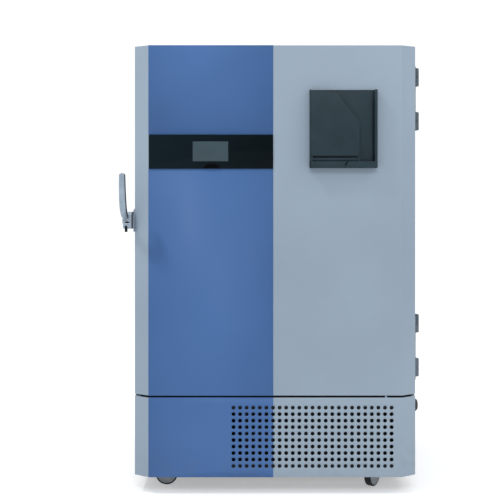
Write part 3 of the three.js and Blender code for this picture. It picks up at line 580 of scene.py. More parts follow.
# black plastic for the real black parts, also used as painted shade: the strip on the grip's right flank and
# the ring at the hub's right end
blackPlastic = mouldedPlastic("blackPlastic", "24292D", "1C2023", 0.48)
palePlastic = mouldedPlastic("palePlastic", "DBE1E5", "D6DCE1", 0.46, 700, 0.00004)
hubPlastic = mouldedPlastic("hubPlastic", "949A9F", "83898E", 0.45)
pedalPlastic = mouldedPlastic("pedalPlastic", "2A2D30", "202326", 0.5)
fanPlastic = mouldedPlastic("fanPlastic", "212427", "191B1D", 0.5)
stainlessAcross = brushedSteel("stainlessAcross", "C3C8CA", "A4A9AC", 0.3, (40, 1, 1))
stainlessUp = brushedSteel("stainlessUp", "C0C5C7", "A2A7AA", 0.32, (1, 1, 40))
hingeSteel = brushedSteel("hingeSteel", "6C767E", "4E5860", 0.36, (1, 1, 24), 300)
lockSteel = brushedSteel("lockSteel", "C9D2DA", "9BA6B0", 0.28, (12, 1, 1), 500)
# dark steel: the padlock tab's colour, and the painted shade of the keyhole in the lock's face
keyholeSteel = brushedSteel("keyholeSteel", "262C31", "14181B", 0.35, (12, 1, 1), 500)
zincPlate = platedSteel("zincPlate", "B4B9BC", "8E9397")
screwPlate = platedSteel("screwPlate", "A9AFB3", "868C90", 0.32, 500)
handleCoat = coatedCasting("handleCoat", "98A5B3", "8896A5")
sealRubber = softRubber("sealRubber", "5A5F63", "474B4F")
tyreRubber = softRubber("tyreRubber", "17191B", "0E0F10", 0.6)
# near-black rubber for the strip on top of the front panel: painted shade in the gap under the door
blackRubber = softRubber("blackRubber", "0B0D0F", "060708", 0.75)
wallFoam = rigidFoam("wallFoam", "DDD3B0", "C9BC93")
filterCloth = filterMesh("filterCloth", "33373A", "101214")
finAluminium = brushedSteel("finAluminium", "C6CACD", "A3A8AB", 0.34, (1, 1, 16), 400)
copper = copperPipe("copper")
print("finishes made")


def framed(profile, left, right, low, high, y, radius=0.0, sign=1, closeRows=False, capFirst=False,
           capLast=False):
    # a profile of (inset, depth) points carried round a rectangle in x and z: row k is the rectangle moved in
    # by its inset, at y + sign*depth; its corner radius shrinks with the inset but stays above the smallest
    rows = []
    for inset, depth in profile:
        corner = max(radius - inset, 0.0015)
        outline = rectangle(left + inset, right - inset, low + inset, high - inset, corner, 6)
        rows.append(onAxis(outline, y + sign * depth, "y"))
    return gridShape(np.stack(rows), closeRows=closeRows, closeColumns=True, capFirst=capFirst,
                     capLast=capLast)


def arcTurn(start, end, steps=5):
    return np.linspace(math.radians(start), math.radians(end), steps)


# pressed pans of the door and the front panel

panLook = dict(cornerWidth=0.064, cornerDepth=0.038, bend=0.005, rim=0.003, sheet=0.0015)


bendSteps = 5


def panPlan(low, high, look, frontXs=()):
    # the pan seen from above: up its left side, down the slope, along the front, up the other slope and back
    left, right, front, back = low[0], high[0], low[1], high[1]
    w, d = look["cornerWidth"], look["cornerDepth"]
    line = bent([(left, back), (left, front + d), (left + w, front), (right - w, front), (right, front + d),
                 (right, back)], look["bend"], bendSteps)
    middle = 1 + 2 * bendSteps  # the first point and two bends come before the front face
    extra = np.array([(x, front) for x in frontXs]).reshape(-1, 2)
    return np.concatenate([line[:middle], extra, line[middle:]]), middle


def panShape(low, high, look, front=None):
    # the plan stacked from bottom to top with rounded rims, and both ends filled; the back stays open.
    # front is a sheet that takes the place of the front face, with the lines that its border follows
    zs = [] if front is None else front["zs"]
    plan, middle = panPlan(low, high, look, () if front is None else front["xs"])
    levels = rimLevels(low[2], high[2], look["rim"], bendSteps)
    levels = levels[:bendSteps] + [(z, 0.0) for z in zs] + levels[bendSteps:]
    points, faces = gridShape(stacked(plan, levels, "z", closed=False), capFirst=True, capLast=True)
    if front is None:
        return points, faces
    columns = len(plan)
    first, last = middle - 1, middle + len(front["xs"])
    rows = np.arange(bendSteps - 1, bendSteps + len(zs))
    gone = {int(r * columns + c) for r in rows for c in range(first, last)}
    kept = [face for face in faces if not (len(face) == 4 and face[0] in gone and face[1] == face[0] + 1)]
    return joined((points, kept), front["sheet"])


makePiece("doorPan", panShape(doorLow, doorHigh, panLook), "door", greyCoat,
                    ["door_skin"], sheet=panLook["sheet"], smooth=25)

grilleLook = dict(columns=25, rows=10, pitchAcross=0.02866, pitchUp=0.0282, radius=0.0086, lastInset=0.110,
                  firstRise=0.049)
panelLow, panelHigh = corners("front_panel")
lastHole = panelHigh[0] - grilleLook["lastInset"]
holeXs = lastHole - grilleLook["pitchAcross"] * np.arange(grilleLook["columns"])[::-1]
holeZs = panelLow[2] + grilleLook["firstRise"] + grilleLook["pitchUp"] * np.arange(grilleLook["rows"])
pitch = (grilleLook["pitchAcross"], grilleLook["pitchUp"])


plan, middle = panPlan(panelLow, panelHigh, panLook)
flatLeft, flatRight = plan[middle - 1, 0], plan[middle, 0]
rim = panLook["rim"]
grille = perforated(flatLeft, flatRight, panelLow[2] + rim, panelHigh[2] - rim, panelLow[1], holeXs, holeZs,
                    pitch, grilleLook["radius"])
front = dict(xs=borderLines(holeXs, pitch[0]), zs=borderLines(holeZs, pitch[1]), sheet=grille)
makePiece("frontPanel", panShape(panelLow, panelHigh, panLook, front), "front_panel",
                       greyCoat, ["front_panel"], sheet=panLook["sheet"], smooth=25)

filmLook = dict(stand=0.0003, thick=0.0005, wrap=0.009)
filmLow, filmHigh = corners("door_blue_film")
bandLow, bandHigh = corners("control_band")


def filmStrip(left, right, low, high, foldLow, foldHigh):
    # a film laid on the front face from low to high, and folded over the rim where it reaches it
    y, back = frontY - filmLook["stand"], frontY + filmLook["wrap"]
    line = [(y, low), (y, high)]
    line = ([(back, low)] if foldLow else []) + line + ([(back, high)] if foldHigh else [])
    line = bent(line, rim + filmLook["stand"]) if len(line) > 2 else np.array(line)
    rows = [[(left, a, b), (right, a, b)] for a, b in line]
    return gridShape(np.array(rows))


stand = filmLook["stand"]
doorFilm = joined(filmStrip(filmLow[0], filmHigh[0], doorLow[2] - stand, bandLow[2] - stand, True, False),
                  filmStrip(filmLow[0], filmHigh[0], bandHigh[2] + stand, doorHigh[2] + stand, False, True))
makePiece("doorBlueFinish", doorFilm, "door", blueCoat, ["door_blue_film"], turnOut=False,
          sheet=filmLook["thick"], offset=1.0)

filmHoles = holeXs[holeXs - pitch[0] / 2 < filmHigh[0]]
lowEdge, highEdge = panelLow[2] + rim, panelHigh[2] - rim
panelFilm = perforated(filmLow[0], filmHoles[-1] + pitch[0], lowEdge, highEdge, frontY - stand, filmHoles,
                       holeZs, pitch, grilleLook["radius"], clipX=filmHigh[0])
panelFilm = joined(panelFilm,
                   filmStrip(filmLow[0], filmHigh[0], panelLow[2] - stand, lowEdge, True, False),
                   filmStrip(filmLow[0], filmHigh[0], highEdge, panelHigh[2] + stand, False, True))
makePiece("frontPanelBlueFinish", panelFilm, "front_panel", blueCoat, ["front_panel_film"],
          turnOut=False, sheet=filmLook["thick"], offset=1.0)
print("door and panel pans made")


# strip along the top of the front panel, near-black: painted shade in the gap under the door

stripLook = dict(start=0.028, end=0.019, stand=0.0002, high=0.0024, front=0.0022, catchPlace=0.137,
                 catchWide=0.0075)
stiffenerLook = dict(leftInset=0.09, rightInset=0.07, halfHigh=0.0135, front=0.0045, back=0.0060)
left, right = panelLow[0] + stripLook["start"], panelHigh[0] - stripLook["end"]
slopeY = panLook["cornerDepth"] / panLook["cornerWidth"]
back = panelHigh[1] - 0.006
edge = stripLook["front"]
strip = [(left, frontY + edge + (panLook["cornerWidth"] - stripLook["start"]) * slopeY),
         (panelLow[0] + panLook["cornerWidth"], frontY + edge),
         (panelHigh[0] - panLook["cornerWidth"], frontY + edge),
         (right, frontY + edge + (panLook["cornerWidth"] - stripLook["end"]) * slopeY), (right, back),
         (left, back)]
stripLow = panelHigh[2] + stripLook["stand"]
makePiece("panelStrip", slab(rounded(strip, 0.002), stripLow, stripLow + stripLook["high"], "z", 0.0006),
          "front_panel", blackRubber)
half = stiffenerLook["halfHigh"]
stiffener = [slab(rectangle(panelLow[0] + stiffenerLook["leftInset"],
                            panelHigh[0] - stiffenerLook["rightInset"], z - half, z + half, 0.002),
                  frontY + stiffenerLook["front"], frontY + stiffenerLook["back"], "y", 0.0003)
             for z in (holeZs[0], holeZs[-1])]
# the stiffeners' near-black coat is painted shade behind the top and bottom rows of holes
makePiece("panelStiffeners", joined(*stiffener), "front_panel", chassisCoat)
catchLeft = panelHigh[0] - stripLook["catchPlace"]
panelCatch = block((catchLeft, frontY + 0.0008, panelHigh[2] - 0.002), (catchLeft + stripLook["catchWide"],
                   frontY + 0.012, doorLow[2] - 0.0012), "z", 0.001, 0.0008)
makePiece("panelCatch", panelCatch, "front_panel", greyCoat)


# control band

bandLook = dict(ease=0.0009, corner=0.0008)
makePiece("controlBand", block(bandLow, bandHigh, "y", bandLook["corner"], bandLook["ease"]), "door",
          bandAcrylic, ["control_band"])
low, high = corners("screen")
makePiece("displayWindow", block(low, high, "y", 0.0015, 0.0003), "door", displayFace,
          ["screen"])
low, high = corners("indicator_window")
angle = np.linspace(0, math.pi, 33)
halfOval = np.stack([(low[0] + high[0]) / 2 + (high[0] - low[0]) / 2 * np.cos(angle),
                     low[2] + (high[2] - low[2]) * np.sin(angle)], 1)
makePiece("indicatorWindow", slab(halfOval, low[1], high[1], "y", 0.0002, 3), "door",
          windowAcrylic, ["indicator_window"])


# document holder

holderLook = dict(wall=0.003, rail=0.012, groove=0.009, divider=0.017, ledge=0.029, notchWide=0.0055,
                  notchPlace=0.160, notchLean=0.0105, notchDeep=0.0185, slotRise=0.044, slotHigh=0.009,
                  ease=0.0007)
low, high = corners("holder_back")
coverLow, coverHigh = corners("holder_front")
wall, ease = holderLook["wall"], holderLook["ease"]
front, rear = low[1], high[1]
ledgeTop = low[2] + holderLook["ledge"]
notch = low[0] + holderLook["notchPlace"]
notchFoot = ledgeTop - holderLook["notchDeep"]
lean, wide = holderLook["notchLean"], holderLook["notchWide"]
ledge = [(low[0], low[2]), (high[0], low[2]), (high[0], ledgeTop), (notch + wide, ledgeTop),
         (notch + wide - lean, notchFoot), (notch - lean, notchFoot), (notch, ledgeTop), (low[0], ledgeTop)]
ledge = rounded(ledge, [0.004, 0.004, 0.001, 0.001, 0.0015, 0.0015, 0.001, 0.001])
railLeft = high[0] - holderLook["rail"]
dividerY = frontY - holderLook["divider"]
tray = joined(slab(ledge, front, rear, "y", ease),
              block((low[0], rear - wall, low[2]), (high[0], rear, high[2]), "y", 0.004, ease),
              block((low[0], front, low[2]), (low[0] + wall, rear, high[2]), "x", 0.002, ease),
              block((railLeft, front + 0.0002, ledgeTop - 0.004), (high[0], rear, high[2]),
                    "z", 0.0025, 0.002),
              block((low[0], dividerY, low[2]),
                    (railLeft - holderLook["groove"], dividerY + wall, high[2] - 2 * wall),
                    "y", 0.003, ease))
makePiece("holderTray", tray, "door", holderPlastic, ["holder_back"])

slotLow = low[2] + holderLook["slotRise"]
slotTop = slotLow + holderLook["slotHigh"]
left, right, top = coverLow[0], coverHigh[0], high[2]
cover = [(left, slotTop), (right, slotTop), (right, top - 0.135), (right - 0.032, top - 0.099),
         (right - 0.103, top - 0.010), (left, top - 0.004)]
coverRadii = [0.0012, 0.0012, 0.016, 0.016, 0.003, 0.003]
lip = [(front + 0.007, coverLow[2]), (front + 0.010, coverLow[2]), (front + 0.0035, slotLow),
       (front + 0.0005, slotLow)]
coverShape = joined(
    slab(rounded(cover, coverRadii), front, front + wall, "y", ease),
    block((left, front, coverLow[2]), (left + 0.0086, front + wall, slotTop + 0.004), "y", 0.0012, ease),
    block((right - 0.0055, front, coverLow[2]), (right, front + wall, slotTop + 0.004), "y", 0.0012, ease),
    slab(rounded(lip, 0.0008, 3), left + 0.006, right - 0.004, "x", 0.0004, 3))
makePiece("holderCover", coverShape, "door", holderPlastic, ["holder_front"])
print("controls and document holder made")


# handle and lock

pivot = jointPlace("handle_pivot")
leverLow, leverHigh = corners("handle_lever")
handleLook = dict(gripEnds=0.0265, gripMiddle=0.0305, gripThick=0.020, gripForward=0.148, gripTop=0.207,
                  gripClose=0.012, hubWide=0.042, hubGap=0.008, hubFront=-0.045, hubBack=0.040, hubHigh=0.073,
                  hubCorner=0.013, hubEase=0.0035)
hubRight = doorLow[0] - handleLook["hubGap"]
hubLeft = hubRight - handleLook["hubWide"]
hubMiddle = (hubLeft + hubRight) / 2


def gripShape(look, part=(0.0, 1.0, 1.0)):
    # a rounded section |u|^2.5 + |v|^2.5 = 1 carried along a cubic curve from the hub forwards and up; the
    # section is widest in the middle, and shrinks as a quarter circle over the last stretch to close the end.
    # part is a shift to the right, as a share of the half width, then the shares of width and thickness kept
    t = np.concatenate([np.linspace(0, 0.9, 26), 1 - 0.1 * np.cos(arcTurn(8, 90, 10))])[:, None]
    ends = [(-0.015, 0.012), (-0.100, 0.014), (0.008 - look["gripForward"], look["gripTop"] * 0.4),
            (0.010 - look["gripForward"], look["gripTop"])]
    p0, p1, p2, p3 = (np.array(p) for p in ends)
    line = (1 - t) ** 3 * p0 + 3 * (1 - t) ** 2 * t * p1 + 3 * (1 - t) * t ** 2 * p2 + t ** 3 * p3
    slope = np.gradient(line, axis=0)
    slope /= np.linalg.norm(slope, axis=1, keepdims=True)
    fromEnd = np.linalg.norm(line - p3, axis=1) / look["gripClose"]
    close = np.sqrt(np.clip(1 - (1 - np.clip(fromEnd, 0, 1)) ** 2, 0.0004, 1))
    along = t[:, 0]
    wide = (look["gripMiddle"] + (look["gripEnds"] - look["gripMiddle"]) * (2 * along - 1) ** 2) / 2 * close
    thick = look["gripThick"] / 2 * close * (1.12 - 0.12 * along)
    angle = np.arange(28) * 2 * math.pi / 28
    u = np.sign(np.cos(angle)) * np.abs(np.cos(angle)) ** 0.8
    v = np.sign(np.sin(angle)) * np.abs(np.sin(angle)) ** 0.8
    shift, wideShare, thickShare = part
    x = hubLeft - 0.003 + look["gripEnds"] / 2 + wide[:, None] * (shift + wideShare * u)
    y = pivot[1] + line[:, :1] - slope[:, 1:] * thick[:, None] * thickShare * v
    z = pivot[2] + line[:, 1:] + slope[:, :1] * thick[:, None] * thickShare * v
    return gridShape(np.stack([x, y, z], -1), closeColumns=True, capFirst=True, capLast=True)


def offPivot(y, z):
    return pivot[1] + y, pivot[2] + z


hubHalf = handleLook["hubHigh"] / 2
hub = rectangle(pivot[1] + handleLook["hubFront"], pivot[1] + handleLook["hubBack"], pivot[2] - hubHalf,
                pivot[2] + hubHalf, handleLook["hubCorner"], 7)
tongueTip = leverHigh[1]
tongueLook = dict(left=0.002, right=0.010, below=0.012, above=0.010, hookLong=0.014, hookBelow=0.020)
tongueLeft, tongueRight = hubMiddle - tongueLook["left"], hubMiddle + tongueLook["right"]
lever = joined(
    gripShape(handleLook),
    slab(hub, hubLeft, hubRight, "x", handleLook["hubEase"], 5),
    block((tongueLeft, pivot[1], pivot[2] - tongueLook["below"]),
          (tongueRight, tongueTip, pivot[2] + tongueLook["above"]), "y"),
    block((tongueLeft, tongueTip - tongueLook["hookLong"], pivot[2] - tongueLook["hookBelow"]),
          (tongueRight, tongueTip, pivot[2]), "z"),
    turnedShape([(0.019, -0.0036), (0.019, -0.0012), (0.017, 0.0), (0.012, 0.0), (0.011, -0.001)],
                (hubLeft - 0.0015, pivot[1], pivot[2]), "x", 40))
makePiece("handleLever", lever, "handle", handleCoat, ["handle_lever"], smooth=40)
# a black strip along the grip's right flank: painted shade on the side of the grip that faces the door
makePiece("gripInlay", gripShape(handleLook, (0.76, 0.28, 0.74)), "handle", blackPlastic)
# a black ring round the hub's right end: painted shade for the dark gap between the hub and the bracket
shadeCollarLook = dict(stand=0.0004, left=0.0042, right=0.0002)
stand = shadeCollarLook["stand"]
collar = rectangle(pivot[1] + handleLook["hubFront"] - stand, pivot[1] + handleLook["hubBack"] + stand,
                   pivot[2] - hubHalf - stand, pivot[2] + hubHalf + stand, handleLook["hubCorner"] + stand, 7)
makePiece("hubCollar",
          slab(collar, hubRight - shadeCollarLook["left"], hubRight - shadeCollarLook["right"], "x", 0.0008),
          "handle", blackPlastic)
hubFace = pivot[1] + handleLook["hubFront"]
makePiece("padlockTab",
          block((hubLeft + 0.009, hubFace - 0.0012, leverLow[2]),
                (hubLeft + 0.0195, hubFace + 0.014, pivot[2] - hubHalf + 0.015), "x", 0.0035, 0.0008),
          "handle", keyholeSteel)

lockCentre = jointPlace("lock_turn")
lockLow, lockHigh = corners("lock_barrel")
oval = circlePoints(48)
ovalSize = np.array([lockHigh[0] - lockLow[0], lockHigh[2] - lockLow[2]]) / 2
ovalLevels = [(1.0, 0.0033), (1.0, 0.0008), (0.96, 0.0002), (0.90, 0.0), (0.72, 0.0), (0.66, 0.0004),
              (0.64, 0.0010)]
rows = [onAxis(oval * ovalSize * np.array([s, 1 - (1 - s) * 1.4]) + lockCentre[[0, 2]], lockLow[1] + depth,
               "y") for s, depth in ovalLevels]
head = gridShape(np.stack(rows), closeColumns=True, capFirst=True, capLast=True)
stem = turnedShape([(0.006, 0.003), (0.006, lockHigh[1] - lockLow[1])],
                   (lockCentre[0], lockLow[1], lockCentre[2]), "y")
makePiece("lockBarrel", joined(head, stem), "lock", lockSteel, ["lock_barrel"], smooth=30)
# a near-black face sunk in the lock's head: painted shade of the keyhole
rows = [onAxis(oval * ovalSize * np.array([0.84, 0.50]) * s + lockCentre[[0, 2]], lockLow[1] + depth, "y")
        for s, depth in [(1.0, 0.0012), (1.0, -0.0004), (0.92, -0.0008), (0.5, -0.0010)]]
makePiece("keyFace", gridShape(np.stack(rows), closeColumns=True, capFirst=True, capLast=True), "lock",
          keyholeSteel)

bracketLow = corners("handle_bracket")[0]
plateLeft = doorLow[0] - 0.005
plate = [offPivot(-0.036, -0.050), offPivot(0.070, -0.050), offPivot(0.070, 0.050), offPivot(-0.020, 0.050),
         offPivot(-0.020, 0.030), offPivot(-0.036, 0.020)]
bracketScrews = [(plateLeft, *offPivot(y, z))
                 for y, z in [(0.058, 0.038), (0.058, -0.038), (-0.008, -0.042), (-0.008, 0.040)]]
bracket = joined(slab(rounded(plate, 0.005), plateLeft, doorLow[0] - 0.0003, "x", 0.0008),
                 turnedShape([(0.010, 0), (0.010, plateLeft - bracketLow[0])],
                             (bracketLow[0], pivot[1], pivot[2]), "x", 32))
makePiece("handleBracket", bracket, "door", handleCoat, ["handle_bracket"])
makePiece("handleBracketScrews", screws(bracketScrews, "x", -1, 0.0048, 0.0028), "door",
          screwPlate)

low, high = corners("latch_strike")
plate = rectangle(low[1], high[1], low[2], high[2], 0.006)
strikeLook = dict(plate=0.0047, pegLeft=0.004, pegBack=0.026, pegLong=0.012, pegHigh=0.015, clawGap=0.0008,
                  screwInset=0.010)
plateX = high[0] - strikeLook["plate"]
pegX, pegY = hubMiddle - strikeLook["pegLeft"], tongueTip - strikeLook["pegBack"]
claw = pivot[2] - tongueLook["hookBelow"] - strikeLook["clawGap"]
strike = joined(slab(plate, plateX, high[0], "x", 0.0008),
                block((pegX, pegY, claw - strikeLook["pegHigh"]),
                      (high[0] - 0.001, pegY + strikeLook["pegLong"], claw), "x", 0.003, 0.0015))
makePiece("latchStrike", strike, "cabinet", hingeSteel, ["latch_strike"])
inset = strikeLook["screwInset"]
strikeScrews = [(plateX, y, z) for y in (low[1] + inset, high[1] - inset)
                for z in (low[2] + inset, high[2] - inset)]
makePiece("latchStrikeScrews", screws(strikeScrews, "x", -1, 0.0046, 0.0026), "cabinet",
          screwPlate)
print("handle, lock and strike made")


# hinges

hingeAxis = jointPlace("door_hinge")
hingeLook = dict(barrel=0.014, pin=0.0075, knuckle=0.080, pitch=0.198, plate=0.005, reach=0.092, near=0.022,
                 split=0.0003)


def hingeLeaf(low, side, look):
    # a plate screwed to the side and two turned knuckles on arms; side is 1 on the cabinet and -1 on the door
    bottom = low[2]
    inner = doorHigh[0] + 0.0003
    ends = sorted([hingeAxis[1] + side * look["near"], hingeAxis[1] + side * look["reach"]])
    height = look["knuckle"] + look["pitch"]
    plate = rectangle(ends[0], ends[1], bottom, bottom + height, 0.006)
    parts = [slab(plate, inner, inner + look["plate"], "x", 0.0008)]
    half = look["knuckle"] / 2
    for rise in (0, look["pitch"]):
        start = bottom + rise + (0 if side > 0 else half + look["split"])
        end = start + half - look["split"]
        r, c = look["barrel"], 0.0012
        parts.append(turnedShape([(r - c, start), (r, start + c), (r, end - c), (r - c, end)],
                                 (hingeAxis[0], hingeAxis[1], 0), "z", 40))
        root = start if side > 0 else end
        pinEnd = root - side * 0.002
        parts.append(turnedShape([(look["pin"], root + side * 0.001), (look["pin"], pinEnd + side * 0.0008),
                                  (look["pin"] - 0.001, pinEnd)], (hingeAxis[0], hingeAxis[1], 0), "z", 24))
        arm = sorted([hingeAxis[1], hingeAxis[1] + side * (look["near"] + 0.004)])
        parts.append(block((inner, arm[0], start), (inner + 0.010, arm[1], end), "z", 0.002, 0.001))
    places = [(inner + look["plate"], y, bottom + z) for y in (ends[0] + 0.016, ends[1] - 0.016)
              for z in (0.018, 0.098, 0.180, height - 0.018)]
    return joined(*parts), screws(places, "x", 1, 0.005, 0.0028)


for hinge in ("upper_hinge", "lower_hinge"):
    for side, body in ((1, "cabinet"), (-1, "door")):
        node = f"{hinge}_{body}_leaf"
        leaf, heads = hingeLeaf(corners(node)[0], side, hingeLook)
        name = hinge.split("_")[0] + "HingeLeaf" + body.capitalize()
        makePiece(name, leaf, body, hingeSteel, [node])
        makePiece(name + "Screws", heads, body, screwPlate)
print("hinges made")


# knob on the right side

knobLook = dict(flutes=18, fluteDeep=0.045, skirt=0.0285, cap=0.0225)


def fluted(profile, place, look, sides=144):
    # a turned profile whose side is scalloped: r = r0 * (1 - deep * share * (1 + cos(flutes * angle)) / 2)
    angle = np.arange(sides) * 2 * math.pi / sides
    scallop = (1 + np.cos(look["flutes"] * angle)) / 2
    rows = [onAxis(circlePoints(sides) * (r * (1 - look["fluteDeep"] * share * scallop))[:, None],
                   h, "x") for r, h, share in profile]
    points, faces = gridShape(np.stack(rows), closeColumns=True, capFirst=True, capLast=True)
    return points + place, faces


knobPlace = jointPlace("side_knob_turn")
skirt, cap = knobLook["skirt"], knobLook["cap"]
knobProfile = [(0.024, 0.0, 0), (skirt - 0.001, 0.0012, 0.4), (skirt, 0.003, 1), (skirt, 0.0125, 1),
               (skirt - 0.0012, 0.0142, 0.8), (cap + 0.001, 0.0185, 0.2), (cap, 0.020, 0),
               (cap - 0.003, 0.0218, 0), (0.012, 0.0226, 0), (0.011, 0.0216, 0), (0.002, 0.0214, 0)]
knob = joined(fluted(knobProfile, knobPlace, knobLook),
              block(knobPlace + (0.0185, -0.0016, 0.004), knobPlace + (0.0228, 0.0016, cap - 0.002), "x",
                    0.0012, 0.0006))
makePiece("sideKnob", knob, "side_knob", blackPlastic, ["side_knob"], smooth=30)


# cabinet shell, sides and back

shellLook = dict(corner=0.004, rim=0.003, sheet=0.0015, lap=0.022, panelStand=0.0012)
low, high = corners("outer_shell")
levels = [(low[1], 0.0), (low[1] + 0.2, 0.0)] + rimLevels(low[1], high[1], shellLook["rim"], 5)[5:]
levels += [(high[1], shellLook["lap"]), (high[1] + shellLook["panelStand"], shellLook["lap"] + 0.0002)]
rows = []
for y, inset in levels:
    corner = max(shellLook["corner"] - inset, 0.0012)
    rows.append(onAxis(rectangle(low[0] + inset, high[0] - inset, low[2] + inset, high[2] - inset, corner, 5),
                       y, "y"))
shell = gridShape(np.stack(rows), closeColumns=True, capLast=True)
makePiece("cabinetShell", shell, "cabinet", greyCoat, ["outer_shell"], sheet=shellLook["sheet"],
          smooth=30)

back = high[1] + shellLook["panelStand"]
inset = shellLook["lap"] + 0.011
xs, zs = (low[0] + inset, high[0] - inset), (low[2] + inset, high[2] - inset)
fromEnd = 0.19
backScrews = ([alongLine((xs[0], back, z), (xs[1], back, z), 9) for z in zs]
              + [alongLine((x, back, low[2] + fromEnd), (x, back, high[2] - fromEnd), 8) for x in xs])
addScrews("backPanelScrews", np.concatenate(backScrews))

for side in ("left", "right"):
    coverLow, coverHigh = corners(f"side_cover_{side}")
    keepNode(f"side_cover_{side}", greyCoat)
    x = coverLow[0] if side == "left" else coverHigh[0]
    ys = np.linspace(coverLow[1] + 0.13, coverHigh[1] - 0.03, 6)
    places = [(x, y, z) for y in ys for z in (coverLow[2] + 0.018, coverHigh[2] - 0.018)]
    addScrews(f"sideCoverScrews{side.capitalize()}", places, "x", -1 if side == "left" else 1)
keepNode("rear_cover", greyCoat)
coverLow, coverHigh = corners("rear_cover")
xs = np.linspace(coverLow[0] + 0.02, coverHigh[0] - 0.02, 7)
places = [(x, coverHigh[1], z) for x in xs for z in (coverLow[2] + 0.016, coverHigh[2] - 0.016)]
addScrews("rearCoverScrews", places)

low, high = corners("mains_inlet")
inletFace = framed([(0, 0), (0, 0.0072), (0.0012, 0.0086), (0.0085, 0.0086), (0.0092, 0.0078),
                    (0.0092, 0.0022)], low[0], high[0], low[2], high[2], low[1], 0.005, capFirst=True,
                   capLast=True)
pinMiddle, pinZ = (low[0] + high[0]) / 2, (low[2] + high[2]) / 2
halfWide, halfHigh = 0.001, 0.0035
pins = [block((pinMiddle + x - halfWide, low[1] + 0.002, pinZ + z - halfHigh),
              (pinMiddle + x + halfWide, high[1] - 0.001, pinZ + z + halfHigh), "y", 0.0006, 0.0004)
        for x, z in ((-0.009, -0.006), (0.009, -0.006), (0, 0.007))]
makePiece("mainsInlet", inletFace, "cabinet", blackPlastic, ["mains_inlet"])
makePiece("mainsInletPins", joined(*pins), "cabinet", zincPlate)

for side in ("left", "right"):
    low, high = corners(f"rear_spacer_{side}")
    pad = framed([(-0.006, 0.0), (-0.006, 0.0025), (-0.001, 0.0035), (0, 0.006),
                  (0, high[1] - low[1] - 0.002), (0.002, high[1] - low[1]), (0.012, high[1] - low[1]),
                  (0.013, high[1] - low[1] - 0.004)], low[0], high[0], low[2], high[2], low[1], 0.006,
                 capFirst=True, capLast=True)
    makePiece(f"rearSpacer{side.capitalize()}", pad, "cabinet", blackPlastic,
              [f"rear_spacer_{side}"])

low, high = corners("port_plug")
middle, reach = (low + high) / 2, high[1] - low[1]
plugLook = [(0.0122, 0), (0.0125, 0.004), (0.0125, reach - 0.0118), (0.024, reach - 0.0116),
            (0.025, reach - 0.009), (0.025, reach - 0.003), (0.0225, reach - 0.0002), (0.015, reach),
            (0.014, reach - 0.002), (0.002, reach - 0.0025)]
makePiece("portPlug", turnedShape(plugLook, (middle[0], low[1], middle[2]), "y", 48), "cabinet",
          blackPlastic, ["port_plug"])
print("cabinet outside made")


# mouth of the cabinet

low, high = corners("front_trim")
mouth = 0.1082  # from the outside of the frame to its opening
trimProfile = [(0, 0.012), (0, 0.0012), (0.0012, 0), (0.060, 0), (0.0612, 0.0012), (0.0655, 0.0012),
               (0.0667, 0), (mouth - 0.006, 0), (mouth - 0.002, 0.001), (mouth, 0.0045), (mouth, 0.012)]
trim = framed(trimProfile, low[0], high[0], low[2], high[2], low[1], 0.003, closeRows=True)
makePiece("mouthTrim", trim, "cabinet", palePlastic, ["front_trim"], smooth=30)
keepNode("insulation_block", wallFoam)
keepNode("door_insulation", wallFoam)
keepNode("inner_liner", stainlessUp)
for side in ("left", "right"):
    keepNode(f"shelf_ladder_{side}", stainlessUp)

low, high = corners("door_liner")
back = low[1] + 0.002
liningProfile = [(0, 0.0), (0.0015, 0.0), (0.118, 0.0), (0.1205, 0.0012), (0.1225, 0.020), (0.1255, 0.027),
                 (0.132, 0.0298), (0.150, 0.030), (0.158, 0.0312), (0.166, 0.0328), (0.19, 0.033),
                 (0.26, 0.033)]
lining = framed(liningProfile, low[0], high[0], low[2], high[2], back, 0.002, capLast=True)
makePiece("doorLining", lining, "door", palePlastic, ["door_liner"], sheet=0.0015, smooth=50)

low, high = corners("door_gasket")
sealProfile = [(0.004, 0), (0.044, 0), (0.0445, 0.002), (0.040, 0.0038), (0.0425, 0.0058), (0.0455, 0.0085),
               (0.0475, 0.011), (0.0465, 0.0130), (0.044, 0.0134), (0.008, 0.0134), (0.003, 0.0128),
               (0.001, 0.0105), (0.0025, 0.0082), (0.0065, 0.0066), (0.0015, 0.0042), (0.0035, 0.0018)]
seal = framed(sealProfile, low[0], high[0], low[2], high[2], low[1], 0.003, closeRows=True)
makePiece("doorSeal", seal, "door", sealRubber, ["door_gasket"], smooth=50)


# inner doors and shelves

